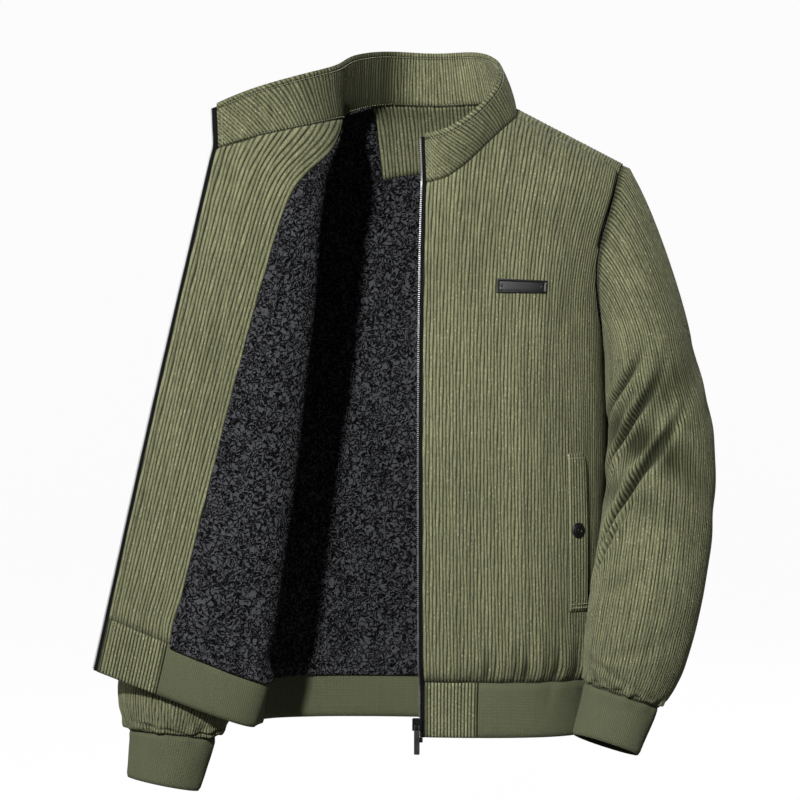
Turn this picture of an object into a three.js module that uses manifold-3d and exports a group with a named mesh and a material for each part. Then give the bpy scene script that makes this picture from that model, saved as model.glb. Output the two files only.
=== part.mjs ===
// A zip-up corduroy jacket with a fleece lining, worn open on its wearer's right side.
// The left front hangs closed to the centre. The right front is turned back over the right sleeve,
// rolled along a line from the neck to the hem, so that its facing and lining show.
//
// Frame: millimetres, +Z up, the wearer looks along -Y, +X is the wearer's left.
// The origin is the middle of the neck opening, at the height where the shoulders meet the neck.
//
// Body cloth lies on one surface, garment(s, w). s runs round the body: 0 at the left front's zip edge,
// 1 left side seam, 2 centre back, 3 right side seam, 4 the right front's zip edge.
// w is the height on the cloth: it equals z up to SPRING and then follows the cloth over the shoulder.
import * as THREE from "three";
import Module from "manifold-3d";

// Cloth, in layers from the outside in
const SHELL = 2.0;
const FACING = 2.0;
const LINING = 3.2;
const RIB_WALL = 4.8;
const CUFF_WALL = 2.6;
const GAP = 0.3;
const UNDER_SHELL = SHELL + GAP;
const UNDER_ROLLED_SHELL = SHELL + 2 * GAP;

// Heights on the body cloth
const HEM = -668;
const HEM_SEAM = -608;
const ARMPIT = -240;
const ARMHOLE_TOP = -117;
const SPRING = -190;
const RIDGE = 60;

// Body section: a rounded rectangle whose quarter is QUARTER long
const SECTION_POWER = 2.7;
const SECTION_WIDTH = 190;
const SECTION_DEPTH = 115;
const QUARTER = 256;

// Neck opening and shoulders, seen from above
const NECK = { halfWidth: 98, middleY: -30, frontReach: 58, backReach: 88 };
const NECK_POWER = { front: { across: 2.4, deep: 1.3 }, back: { across: 2, deep: 2 } };
const SHOULDER_RIDGE = { neckHeight: 15, slope: 0.525, crown: 27 };
// Roundness of the cloth between chest or back and the top of the shoulders, as a power (2 is an ellipse)
const ARCH_POWER = { front: 2.2, back: 3.2 };
const ARCH_REACH = { depth: 100, rise: 205 };
const SHOULDER_SEAM = { neckY: -30, armY: -19, armX: 206 };
const ARMHOLE_COLUMN = 0.795;

// Front edges
const ZIP_MARGIN = 5.0;
const HEM_TAB = { left: 66, right: 75 };
const FACING_WIDTH = 78;

// Collar
const COLLAR_WALL = 2.0;
const COLLAR_LIFT = 0.5;

const BODY_PROFILE = [
  { w: HEM, halfWidth: 183, front: 103, back: 96 },
  { w: -640, halfWidth: 184, front: 103.5, back: 97 },
  { w: HEM_SEAM, halfWidth: 187, front: 105, back: 99 },
  { w: -590, halfWidth: 193, front: 113, back: 106 },
  { w: -540, halfWidth: 193, front: 116, back: 106 },
  { w: -430, halfWidth: 191, front: 117, back: 100 },
  { w: -330, halfWidth: 190, front: 117, back: 102 },
  { w: ARMPIT, halfWidth: 190, front: 113, back: 112 },
  { w: -170, halfWidth: 193, front: 107, back: 113 },
  { w: -110, halfWidth: 200, front: 102, back: 108 },
  { w: -30, halfWidth: 214, front: 98, back: 98 },
  { w: RIDGE, halfWidth: 222, front: 92, back: 92 },
];

// The line along which the right front rolls open: its distance from the zip edge on the cloth, and its place
const ROLL_LINE = [
  { w: HEM, cloth: 190, x: -192, y: -62, z: -665 },
  { w: HEM_SEAM, cloth: 192, x: -177, y: -64, z: -612 },
  { w: -590, cloth: 191, x: -179, y: -64, z: -589 },
  { w: -560, cloth: 187, x: -173, y: -64, z: -560 },
  { w: -480, cloth: 179, x: -160, y: -66, z: -479 },
  { w: -300, cloth: 160, x: -136, y: -68, z: -298 },
  { w: -190, cloth: 143, x: -124, y: -72, z: -188 },
  { w: -120, cloth: 127, x: -118, y: -76, z: -115 },
  { w: -60, cloth: 109, x: -111, y: -70, z: -60 },
  { w: 25, cloth: 86, x: -98, y: -34, z: 7 },
];
const OPEN_EDGE = [
  { w: HEM, x: -365, y: -90, z: -602 },
  { w: -365, x: -295, y: -97, z: -303 },
  { w: -90, x: -232, y: -98, z: -43 },
];
const ROLL_REACH = 30;
const OPEN_BOW = { reach: 0.4, forward: 12 };
const ROLL_SETTLE = { from: 25, to: -90 };
const NECKLINE_PULL = { share: 0.85, reach: 170 };

// Sleeves: centre line and radii across (x) and front to back (y)
const LEFT_ARM = [
  { x: 241, y: -5, z: -250, across: 48, deep: 70 },
  { x: 252, y: -15, z: -320, across: 57, deep: 66 },
  { x: 255, y: -33, z: -385, across: 60, deep: 63 },
  { x: 251.5, y: -56, z: -450, across: 60.5, deep: 59 },
  { x: 243, y: -76, z: -515, across: 60, deep: 53 },
  { x: 232.5, y: -85, z: -567, across: 56.5, deep: 49 },
  { x: 226, y: -87, z: -594, across: 52, deep: 44 },
  { x: 220.5, y: -88, z: -612, across: 46.5, deep: 36 },
  { x: 218, y: -88.7, z: -620, across: 42, deep: 30 },
];
const RIGHT_ARM = [
  { x: -239, y: -2, z: -250, across: 47, deep: 70 },
  { x: -250, y: -4, z: -330, across: 55, deep: 66 },
  { x: -261, y: -8, z: -420, across: 60, deep: 62 },
  { x: -271, y: -12, z: -510, across: 63, deep: 58 },
  { x: -280, y: -16, z: -590, across: 65, deep: 54 },
  { x: -285, y: -19, z: -640, across: 66, deep: 50 },
  { x: -287.5, y: -21, z: -668, across: 58, deep: 42 },
  { x: -288.5, y: -22, z: -680, across: 49, deep: 33 },
];
const CUFF = { length: 56, stations: 24 };
const CUFF_END = {
  left: { turnX: 0.0, turnY: -0.06, across: 37.5, deep: 26 },
  right: { turnX: -0.1, turnY: 0, across: 42, deep: 28 },
};
const SLEEVE_LEAVE = { top: 92, side: 34, bottom: 8 };
const SLEEVE_ARRIVE = { top: 120, side: 90, bottom: 14 };

// Folds pressed into the cloth
const HEM_GATHER = { depth: 2.4, pitch: 38, middle: -584, spread: 22 };
const CHEST_FOLD = { depth: 4, cloth: 178, width: 26, middle: -205, spread: 80 };
const ELBOW_FOLDS = [
  { along: 0.1, angle: 175, depth: 5, width: 0.045, slant: 0.05 },
  { along: 0.21, angle: 200, depth: 7, width: 0.05, slant: -0.06 },
  { along: 0.32, angle: 215, depth: 4, width: 0.04, slant: -0.05 },
];
const CUFF_GATHER = { depth: 2.2, waves: 11, from: 0.86 };

// Trims
const TEETH = { halfWidth: 1.3, front: 0.4, back: -2.4 };
const TAPE = { from: 1.6, to: ZIP_MARGIN - GAP, front: -0.4, back: -1.6 };
const WELT = { from: 164, to: 189, top: -359, bottom: -531, thick: 2.0, lift: { left: 0.4, right: 0.9 } };
const SNAP = { cloth: 175, radius: 8.5, height: 3.2, w: -443, skirt: 1.2, lift: { left: 0.7, right: 3.5 } };
const BADGE = { cloth: 110, w: -179, width: 54, height: 15, thick: 1.6, rim: 1.0, rimWidth: 2.0 };
const NECK_FACING = { halfWidth: 64, bottom: -72 };

const GREEN = 0x6e7054;
const CORDUROY = new THREE.MeshStandardMaterial({ color: GREEN, roughness: 0.95, metalness: 0 });
const RIB_KNIT = new THREE.MeshStandardMaterial({ color: 0x575a45, roughness: 0.95, metalness: 0 });
const FLEECE = new THREE.MeshStandardMaterial({ color: 0x2e2e30, roughness: 1, metalness: 0 });
const ZIP_CLOTH = new THREE.MeshStandardMaterial({ color: 0x1b1b1d, roughness: 0.9, metalness: 0 });
const ZIP_METAL = new THREE.MeshStandardMaterial({ color: 0x2c2c2f, roughness: 0.35, metalness: 0.9 });
const BLACK_TRIM = new THREE.MeshStandardMaterial({ color: 0x151517, roughness: 0.45, metalness: 0.1 });

const vec = (x, y, z) => new THREE.Vector3(x, y, z);
const clamp01 = (x) => Math.min(1, Math.max(0, x));
const mix = (a, b, f) => a + (b - a) * f;
const smooth = (f) => clamp01(f) ** 2 * (3 - 2 * clamp01(f));
const bump = (x) => Math.exp(-x * x);

// Smooth value of a column of a table at a place on its key column (cubic, with finite-difference slopes).
function tableValue(table, key, column, at) {
  const rising = table[0][key] < table[table.length - 1][key];
  const place = (i) => table[i][key] * (rising ? 1 : -1);
  const x = at * (rising ? 1 : -1);
  const last = table.length - 1;
  const slope = (i) => {
    const a = Math.max(0, i - 1);
    const b = Math.min(last, i + 1);
    return (table[b][column] - table[a][column]) / (place(b) - place(a));
  };
  if (x <= place(0)) return table[0][column] + slope(0) * (x - place(0));
  if (x >= place(last)) return table[last][column] + slope(last) * (x - place(last));
  let i = 0;
  while (x > place(i + 1)) i++;
  const h = place(i + 1) - place(i);
  const f = (x - place(i)) / h;
  const a = table[i][column];
  const b = table[i + 1][column];
  return (
    a * (1 + 2 * f) * (1 - f) ** 2 +
    b * f * f * (3 - 2 * f) +
    slope(i) * h * f * (1 - f) ** 2 +
    slope(i + 1) * h * f * f * (f - 1)
  );
}

// Body section

// A quarter of the section, cut into even steps of length, so that t = 0..1 runs evenly from front to side.
const SECTION_STEPS = 400;
const SECTION = (() => {
  const points = [];
  let length = 0;
  for (let i = 0; i <= SECTION_STEPS; i++) {
    const angle = ((i / SECTION_STEPS) * Math.PI) / 2;
    const c = Math.cos(angle);
    const s = Math.sin(angle);
    const wide = (s / SECTION_WIDTH) ** SECTION_POWER;
    const deep = (c / SECTION_DEPTH) ** SECTION_POWER;
    const r = (wide + deep) ** (-1 / SECTION_POWER);
    const point = { X: (r * s) / SECTION_WIDTH, Y: (r * c) / SECTION_DEPTH };
    const before = points[i - 1];
    if (before) {
      const dx = (point.X - before.X) * SECTION_WIDTH;
      const dy = (point.Y - before.Y) * SECTION_DEPTH;
      length += Math.hypot(dx, dy);
    }
    points.push({ ...point, length });
  }
  return points;
})();

// Share of the half width and depth at s, all the way round.
function sectionShare(s) {
  const turn = ((s % 4) + 4) % 4;
  const folded = turn > 2 ? 4 - turn : turn;
  const t = folded > 1 ? 2 - folded : folded;
  const at = t * SECTION[SECTION_STEPS].length;
  let low = 0;
  let high = SECTION_STEPS;
  while (high - low > 1) {
    const middle = (low + high) >> 1;
    if (SECTION[middle].length <= at) low = middle;
    else high = middle;
  }
  const span = SECTION[high].length - SECTION[low].length;
  const f = (at - SECTION[low].length) / span;
  const X = mix(SECTION[low].X, SECTION[high].X, f);
  const Y = mix(SECTION[low].Y, SECTION[high].Y, f);
  return { X: turn > 2 ? -X : X, Y: folded > 1 ? -Y : Y };
}

function ridgeHeight(x) {
  const out = Math.abs(x) - NECK.halfWidth;
  if (out > 0) return SHOULDER_RIDGE.neckHeight - out * SHOULDER_RIDGE.slope;
  return SHOULDER_RIDGE.neckHeight + SHOULDER_RIDGE.crown * (1 - (x / NECK.halfWidth) ** 2);
}

// Shares of depth and rise from chest or back (0) to the top of the shoulders (1), in even steps of length.
const ARCH_STEPS = 200;
function archTable(power) {
  const points = [];
  let length = 0;
  for (let i = 0; i <= ARCH_STEPS; i++) {
    const angle = ((i / ARCH_STEPS) * Math.PI) / 2;
    const c = Math.cos(angle);
    const s = Math.sin(angle);
    const r = ((c / ARCH_REACH.depth) ** power + (s / ARCH_REACH.rise) ** power) ** (-1 / power);
    const point = { depth: (r * c) / ARCH_REACH.depth, rise: (r * s) / ARCH_REACH.rise };
    const before = points[i - 1];
    if (before) {
      const dy = (point.depth - before.depth) * ARCH_REACH.depth;
      length += Math.hypot(dy, (point.rise - before.rise) * ARCH_REACH.rise);
    }
    points.push({ ...point, length });
  }
  return points;
}
const ARCH = { front: archTable(ARCH_POWER.front), back: archTable(ARCH_POWER.back) };

function archShare(side, f) {
  const table = ARCH[side];
  const at = clamp01(f) * table[ARCH_STEPS].length;
  let low = 0;
  let high = ARCH_STEPS;
  while (high - low > 1) {
    const middle = (low + high) >> 1;
    if (table[middle].length <= at) low = middle;
    else high = middle;
  }
  const part = (at - table[low].length) / (table[high].length - table[low].length);
  return {
    depth: mix(table[low].depth, table[high].depth, part),
    rise: mix(table[low].rise, table[high].rise, part),
  };
}

// The body as it is worn, closed. Past the ridge the cloth of the back lies on the front's side.
function torso(s, w) {
  const { X, Y } = sectionShare(s);
  const past = w > RIDGE;
  const level = past ? 2 * RIDGE - w : w;
  const side = Y > 0 !== past ? "front" : "back";
  const x = X * tableValue(BODY_PROFILE, "w", "halfWidth", level);
  const arch = archShare(side, (level - SPRING) / (RIDGE - SPRING));
  const y = (past ? Y : -Y) * arch.depth * tableValue(BODY_PROFILE, "w", side, level);
  const z = w < SPRING ? w : SPRING + (ridgeHeight(x) - SPRING) * arch.rise;
  return vec(x, y, z);
}

function shoulderSeamY(x) {
  const f = (Math.abs(x) - NECK.halfWidth) / (SHOULDER_SEAM.armX - NECK.halfWidth);
  return mix(SHOULDER_SEAM.neckY, SHOULDER_SEAM.armY, f);
}

// Positive on the cloth of the front (side -1) or back (side +1), negative past its neck edge or shoulder.
function insideCloth(p, side) {
  const dy = p.y - NECK.middleY;
  const reach = dy < 0 ? NECK.frontReach : NECK.backReach;
  const power = dy < 0 ? NECK_POWER.front : NECK_POWER.back;
  const across = (Math.abs(p.x) / NECK.halfWidth) ** power.across;
  const outsideNeck = across + Math.abs(dy / reach) ** power.deep - 1;
  const beforeSeam = (side * (p.y - shoulderSeamY(p.x))) / NECK.backReach;
  return Math.min(outsideNeck, beforeSeam);
}

// Height on the cloth at which the column s ends, at the neck edge or the shoulder seam.
const topCache = new Map();
function clothTop(s, side) {
  const t = side < 0 ? Math.abs(s) : Math.abs(2 - s);
  const key = side + ":" + t.toFixed(6);
  if (!topCache.has(key)) {
    const column = side < 0 ? t : 2 - t;
    let low = SPRING;
    let high = side < 0 ? RIDGE : RIDGE + 75;
    for (let i = 0; i < 40; i++) {
      const middle = (low + high) / 2;
      if (insideCloth(torso(column, middle), side) > 0) low = middle;
      else high = middle;
    }
    topCache.set(key, low);
  }
  return topCache.get(key);
}

// The column that meets the corner of neck edge and shoulder seam.
const NECK_COLUMN = (() => {
  let low = 0.2;
  let high = 0.6;
  for (let i = 0; i < 40; i++) {
    const middle = (low + high) / 2;
    if (torso(middle, clothTop(middle, -1)).x < NECK.halfWidth - 0.02) low = middle;
    else high = middle;
  }
  return high;
})();

// The right front, turned back

function openEdge(w) {
  return vec(...["x", "y", "z"].map((k) => tableValue(OPEN_EDGE, "w", k, w)));
}

function rollShare(w) {
  const settled = smooth((ROLL_SETTLE.from - w) / (ROLL_SETTLE.from - ROLL_SETTLE.to));
  return mix(NECK_COLUMN, tableValue(ROLL_LINE, "w", "cloth", w) / QUARTER, settled);
}

function rollPoint(w) {
  const settled = smooth((ROLL_SETTLE.from - w) / (ROLL_SETTLE.from - ROLL_SETTLE.to));
  const placed = vec(...["x", "y", "z"].map((k) => tableValue(ROLL_LINE, "w", k, w)));
  return torso(-rollShare(w), w).lerp(placed, settled);
}

function bezier(p0, p1, p2, p3, f) {
  const g = 1 - f;
  return vec(0, 0, 0)
    .addScaledVector(p0, g * g * g)
    .addScaledVector(p1, 3 * g * g * f)
    .addScaledVector(p2, 3 * g * f * f)
    .addScaledVector(p3, f * f * f);
}

// The turned-back cloth from the roll to the zip edge at one height, as points with their lengths along it.
const FLAP_STEPS = 24;
const flapCache = new Map();
function flapLine(w) {
  const key = w.toFixed(5);
  if (!flapCache.has(key)) {
    const roll = rollPoint(w);
    const edge = openEdge(w);
    const span = edge.clone().sub(roll);
    const leaving = roll.clone().add(vec(0, -ROLL_REACH, 0));
    const arriving = edge.clone().addScaledVector(span, -OPEN_BOW.reach).add(vec(0, -OPEN_BOW.forward, 0));
    const points = [];
    let length = 0;
    for (let i = 0; i <= FLAP_STEPS; i++) {
      const point = bezier(roll, leaving, arriving, edge, i / FLAP_STEPS);
      if (i) length += point.distanceTo(points[i - 1].point);
      points.push({ point, length, f: i / FLAP_STEPS });
    }
    flapCache.set(key, { points, curve: (f) => bezier(roll, leaving, arriving, edge, f) });
  }
  return flapCache.get(key);
}

// The neckline of the turned-back front is pulled towards a straight line by the collar.
function pulled(t, w) {
  if (t >= NECK_COLUMN) return w;
  const top = clothTop(Math.abs(t), -1);
  const line = mix(clothTop(0, -1), clothTop(NECK_COLUMN, -1), clamp01(t / NECK_COLUMN));
  const near = smooth((w - top + NECKLINE_PULL.reach) / NECKLINE_PULL.reach);
  return w + NECKLINE_PULL.share * (line - top) * near;
}

// t = 0 is the zip edge and t = 1 the side seam.
function openFront(t, given) {
  const w = pulled(t, given);
  const share = rollShare(w);
  const roll = rollPoint(w);
  if (t <= share) {
    const { points, curve } = flapLine(w);
    const at = ((share - t) / share) * points[FLAP_STEPS].length;
    let i = 0;
    while (i < FLAP_STEPS - 1 && points[i + 1].length < at) i++;
    const part = (at - points[i].length) / (points[i + 1].length - points[i].length);
    return curve(mix(points[i].f, points[i + 1].f, part));
  }
  const worn = torso(-t, w);
  const anchor = mix(ARMHOLE_COLUMN, 1, smooth((ARMPIT + 20 - w) / 60));
  if (t >= anchor) return worn;
  const settled = smooth((ROLL_SETTLE.from - w) / (ROLL_SETTLE.from - ROLL_SETTLE.to));
  const start = torso(-anchor, w);
  const reach = start.distanceTo(roll) * 0.4;
  const away = torso(-anchor + 0.02, w).sub(start).normalize();
  const bridge = bezier(
    start,
    start.clone().addScaledVector(away, reach),
    roll.clone().add(vec(0, reach, 0)),
    roll,
    (anchor - t) / (anchor - share),
  );
  return worn.lerp(bridge, settled);
}

// Bare surface of the body cloth, before its folds.
function bareGarment(s, w) {
  return s > 3 ? openFront(4 - s, w) : torso(s, w);
}

// Outward depth of the folds at a place on the body cloth.
function foldDepth(s, w) {
  const cloth = s > 3 ? (4 - s) * QUARTER : s * QUARTER;
  const fromZip = smooth((Math.min(s, 4 - s) * QUARTER - HEM_TAB.left) / 40);
  const gathers =
    HEM_GATHER.depth *
    fromZip *
    bump((w - HEM_GATHER.middle) / HEM_GATHER.spread) *
    Math.sin((2 * Math.PI * cloth) / HEM_GATHER.pitch);
  const chest =
    s < 1
      ? CHEST_FOLD.depth *
        bump((cloth - CHEST_FOLD.cloth) / CHEST_FOLD.width) *
        bump((w - CHEST_FOLD.middle) / CHEST_FOLD.spread)
      : 0;
  return gathers - chest;
}

// A place on the body cloth, moved out along the surface's normal by out, and that normal.
function garment(s, w, out = 0) {
  const e = 0.004;
  const h = 1;
  const across = bareGarment(s + e, w).sub(bareGarment(s - e, w));
  const up = bareGarment(s, w + h).sub(bareGarment(s, w - h));
  const normal = across.cross(up).normalize();
  const point = bareGarment(s, w).addScaledVector(normal, out + foldDepth(s, w));
  return { point, normal };
}

// Closed walls from grids

// Each grid place has an outer and an inner point. A wall covers the cells that cell(i, j) allows.
function wall(columns, rows, place, cell = () => true, ring = false) {
  const vertices = [];
  const faces = [];
  const index = new Map();
  const at = (i, j, layer) => {
    const column = ring ? i % columns : i;
    const key = column + "," + j + "," + layer;
    if (!index.has(key)) {
      const p = place(column, j)[layer];
      index.set(key, vertices.length / 3);
      vertices.push(p.x, p.y, p.z);
    }
    return index.get(key);
  };
  const cells = ring ? columns : columns - 1;
  const allowed = (i, j) => {
    const column = ring ? (i + cells) % cells : i;
    return column >= 0 && column < cells && j >= 0 && j < rows - 1 && cell(column, j);
  };
  const quad = (a, b, c, d) => faces.push(a, b, c, a, c, d);
  for (let j = 0; j < rows - 1; j++)
    for (let i = 0; i < cells; i++) {
      if (!allowed(i, j)) continue;
      quad(at(i, j, 0), at(i + 1, j, 0), at(i + 1, j + 1, 0), at(i, j + 1, 0));
      quad(at(i + 1, j + 1, 1), at(i + 1, j, 1), at(i, j, 1), at(i, j + 1, 1));
      if (!allowed(i, j - 1)) quad(at(i + 1, j, 0), at(i, j, 0), at(i, j, 1), at(i + 1, j, 1));
      const [left, right] = [at(i, j + 1, 0), at(i + 1, j + 1, 0)];
      if (!allowed(i, j + 1)) quad(left, right, at(i + 1, j + 1, 1), at(i, j + 1, 1));
      if (!allowed(i - 1, j)) quad(at(i, j, 0), at(i, j + 1, 0), at(i, j + 1, 1), at(i, j, 1));
      if (!allowed(i + 1, j)) quad(right, at(i + 1, j, 0), at(i + 1, j, 1), at(i + 1, j + 1, 1));
    }
  return facingOut(vertices, faces);
}

function facingOut(vertices, faces) {
  let volume = 0;
  const p = (k) => vec(vertices[3 * k], vertices[3 * k + 1], vertices[3 * k + 2]);
  for (let f = 0; f < faces.length; f += 3)
    volume += p(faces[f]).dot(p(faces[f + 1]).cross(p(faces[f + 2])));
  if (volume < 0)
    for (let f = 0; f < faces.length; f += 3) [faces[f + 1], faces[f + 2]] = [faces[f + 2], faces[f + 1]];
  const geometry = new THREE.BufferGeometry();
  geometry.setAttribute("position", new THREE.Float32BufferAttribute(vertices, 3));
  geometry.setIndex(faces);
  return geometry;
}

const jacket = new THREE.Group();
function add(name, geometry, material) {
  const mesh = new THREE.Mesh(geometry, material);
  mesh.name = name;
  jacket.add(mesh);
  return mesh;
}

// Body panels

const SEAM = GAP / 2;
const SEAM_SHARE = SEAM / QUARTER;
const BODY_ROWS = [HEM_SEAM + SEAM, -590, -560, -510, -440, -370, -300, ARMPIT];
const ARM_ROWS = 3;
const YOKE_ROWS = 6;
const LAST_ROW = BODY_ROWS.length - 1 + ARM_ROWS + YOKE_ROWS;
const ARM_ROW = BODY_ROWS.length - 1 + ARM_ROWS;

// Height of the armhole's lower curve on the columns between the armhole column and the side seam.
function armholeCurve(t) {
  const f = clamp01((1 - t) / (1 - ARMHOLE_COLUMN));
  return ARMHOLE_TOP - (ARMHOLE_TOP - ARMPIT) * Math.sqrt(1 - f * f);
}

// Height on the cloth of grid row j on the column that lies t from the centre of a front or back.
function rowHeight(t, j, side) {
  if (j < BODY_ROWS.length) return BODY_ROWS[j];
  const top = t > ARMHOLE_COLUMN ? armholeCurve(t) : mix(-150, ARMHOLE_TOP, t / ARMHOLE_COLUMN);
  if (j <= ARM_ROW) return mix(ARMPIT, top, (j - BODY_ROWS.length + 1) / ARM_ROWS);
  const end = clothTop(side < 0 ? t : 2 - t, side) - SEAM;
  if (side < 0) return mix(top, end, (j - ARM_ROW) / YOKE_ROWS);
  const neckRow = NECK_FACING.bottom;
  const f = (j - ARM_ROW) / YOKE_ROWS;
  return f <= 1 / 3 ? mix(top, neckRow, f * 3) : mix(neckRow, end, (f - 1 / 3) * 1.5);
}

// The facing widens upwards to meet the neck's corner.
function facingShare(j) {
  return mix(FACING_WIDTH / QUARTER, NECK_COLUMN, smooth(j / LAST_ROW / 0.62));
}

const FRONT_FACING_COLUMNS = 5;
const FRONT_BODY_COLUMNS = 8;
const FRONT_SIDE_COLUMNS = 4;
const FRONT_COLUMNS = FRONT_FACING_COLUMNS + FRONT_BODY_COLUMNS + FRONT_SIDE_COLUMNS + 1;
const FRONT_ARM_COLUMN = FRONT_FACING_COLUMNS + FRONT_BODY_COLUMNS;

// Places of the body columns between facing, roll line (1) and armhole column (2) on the turned-back front.
const ROLL_COLUMNS = [0, 0.42, 0.7, 0.86, 0.95, 1, 1.35, 1.7, 2];

// Share of the quarter, 0 at the centre front and 1 at the side seam, of front column i on row j.
function frontColumn(i, j, right = false) {
  const start = ZIP_MARGIN / QUARTER;
  const facing = facingShare(j);
  if (i <= FRONT_FACING_COLUMNS) return mix(start, facing, i / FRONT_FACING_COLUMNS);
  const even = mix(facing, ARMHOLE_COLUMN, (i - FRONT_FACING_COLUMNS) / FRONT_BODY_COLUMNS);
  if (i <= FRONT_ARM_COLUMN) {
    if (!right) return even;
    const place = ROLL_COLUMNS[i - FRONT_FACING_COLUMNS];
    const roll = rollShare(j < BODY_ROWS.length ? BODY_ROWS[j] : mix(-160, 7, (j - 9) / (LAST_ROW - 9)));
    const rolled = place <= 1 ? mix(facing, roll, place) : mix(roll, ARMHOLE_COLUMN, place - 1);
    return mix(even, rolled, smooth((LAST_ROW - j) / YOKE_ROWS));
  }
  const side = (i - FRONT_ARM_COLUMN) / FRONT_SIDE_COLUMNS;
  return mix(ARMHOLE_COLUMN, 1 - SEAM_SHARE, Math.sin((side * Math.PI) / 2));
}

const frontCell = (i, j) => i < FRONT_ARM_COLUMN || j < ARM_ROW;

function frontPlace(right, from, thick, insetColumn = -1, drop = 0) {
  const inset = (right ? 4 : 2) * SEAM_SHARE;
  return (i, j) => {
    const t = frontColumn(i, j, right) + (i === insetColumn ? inset : 0);
    const w = rowHeight(t, j, -1) - (j === LAST_ROW ? drop : 0);
    const s = right ? 4 - t : t;
    return [garment(s, w, from).point, garment(s, w, from - thick).point];
  };
}

function fronts() {
  for (const side of ["left", "right"]) {
    const right = side === "right";
    const shell = frontPlace(right, 0, SHELL);
    add("front_" + side, wall(FRONT_COLUMNS, LAST_ROW + 1, shell, frontCell), CORDUROY);
    const under = right ? UNDER_ROLLED_SHELL : UNDER_SHELL;
    const facing = frontPlace(right, -under, FACING, -1, right ? 3 * GAP : 0);
    const facingCell = (i) => i < FRONT_FACING_COLUMNS;
    add("facing_" + side, wall(FRONT_COLUMNS, LAST_ROW + 1, facing, facingCell), CORDUROY);
    const lining = frontPlace(right, -under, LINING, FRONT_FACING_COLUMNS, GAP);
    const liningCell = (i, j) => i >= FRONT_FACING_COLUMNS && frontCell(i, j);
    add("lining_" + side, wall(FRONT_COLUMNS, LAST_ROW + 1, lining, liningCell), FLEECE);
  }
}

// Shares from the centre back, from the left side seam (-1) to the right side seam (+1).
const NECK_FACING_SHARE = NECK_FACING.halfWidth / QUARTER;
const BACK_HALF = [
  0.085,
  0.17,
  NECK_FACING_SHARE,
  mix(NECK_FACING_SHARE, NECK_COLUMN, 0.5),
  mix(NECK_FACING_SHARE, NECK_COLUMN, 0.82),
  ...Array.from({ length: FRONT_BODY_COLUMNS + 1 }, (_, k) =>
    mix(NECK_COLUMN, ARMHOLE_COLUMN, k / FRONT_BODY_COLUMNS),
  ),
];
const BACK_SIDE = [1, 2, 3, 4].map((k) =>
  mix(ARMHOLE_COLUMN, 1 - SEAM_SHARE, Math.sin((k / FRONT_SIDE_COLUMNS) * (Math.PI / 2))),
);
const BACK_RISING = [...BACK_HALF, ...BACK_SIDE];
const BACK_SHARES = [...BACK_RISING.map((t) => -t).reverse(), 0, ...BACK_RISING];
const backIndex = (t) => BACK_SHARES.findIndex((share) => Math.abs(share - t) < 1e-9);
const BACK_ARM = [backIndex(-ARMHOLE_COLUMN), backIndex(ARMHOLE_COLUMN)];
const BACK_FACING = [backIndex(-NECK_FACING_SHARE), backIndex(NECK_FACING_SHARE)];
const NECK_FACING_ROW = ARM_ROW + YOKE_ROWS / 3;

const backCell = (i, j) => (i >= BACK_ARM[0] && i < BACK_ARM[1]) || j < ARM_ROW;
const neckFacingCell = (i, j) => i >= BACK_FACING[0] && i < BACK_FACING[1] && j >= NECK_FACING_ROW;

function backPlace(from, thick, shrink = 0) {
  return (i, j) => {
    let share = BACK_SHARES[i];
    if (i === BACK_FACING[0]) share += shrink * 2 * SEAM_SHARE;
    if (i === BACK_FACING[1]) share -= shrink * 2 * SEAM_SHARE;
    const down = j === NECK_FACING_ROW && i >= BACK_FACING[0] && i <= BACK_FACING[1] ? shrink * 2 * SEAM : 0;
    const w = rowHeight(Math.abs(share), j, 1) + down;
    const s = 2 + share;
    return [garment(s, w, from).point, garment(s, w, from - thick).point];
  };
}

function back() {
  const columns = BACK_SHARES.length;
  add("back", wall(columns, LAST_ROW + 1, backPlace(0, SHELL), backCell), CORDUROY);
  const liningCell = (i, j) => backCell(i, j) && !neckFacingCell(i, j);
  add("lining_back", wall(columns, LAST_ROW + 1, backPlace(-UNDER_SHELL, LINING), liningCell), FLEECE);
  const facing = backPlace(-UNDER_SHELL, FACING, 1);
  add("neck_facing", wall(columns, LAST_ROW + 1, facing, neckFacingCell), CORDUROY);
}

// Hem: rib all round the back and sides, with a corduroy tab at each zip edge

const HEM_ROWS = [HEM, -640, HEM_SEAM - SEAM];

function hem() {
  const start = ZIP_MARGIN / QUARTER;
  const place = (shares) => (i, j) => {
    const s = shares[i];
    return [garment(s, HEM_ROWS[j]).point, garment(s, HEM_ROWS[j], -RIB_WALL).point];
  };
  const spread = (a, b, n) => Array.from({ length: n + 1 }, (_, i) => mix(a, b, i / n));
  const leftEnd = HEM_TAB.left / QUARTER;
  const rightEnd = HEM_TAB.right / QUARTER;
  const leftTab = spread(start, leftEnd - SEAM_SHARE, 4);
  const rightTab = spread(4 - rightEnd + SEAM_SHARE, 4 - start, 4);
  const rib = [
    ...spread(leftEnd + SEAM_SHARE, 1, 10),
    ...spread(1, 3, 26).slice(1),
    ...spread(3, 4 - rollShare(HEM), 6).slice(1),
    ...spread(4 - rollShare(HEM), 4 - rightEnd - SEAM_SHARE, 9).slice(1),
  ];
  const rows = HEM_ROWS.length;
  add("hem_tab_left", wall(leftTab.length, rows, place(leftTab)), CORDUROY);
  add("hem_tab_right", wall(rightTab.length, rows, place(rightTab)), CORDUROY);
  add("hem_rib", wall(rib.length, rows, place(rib)), RIB_KNIT);
}

// Collar

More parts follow.
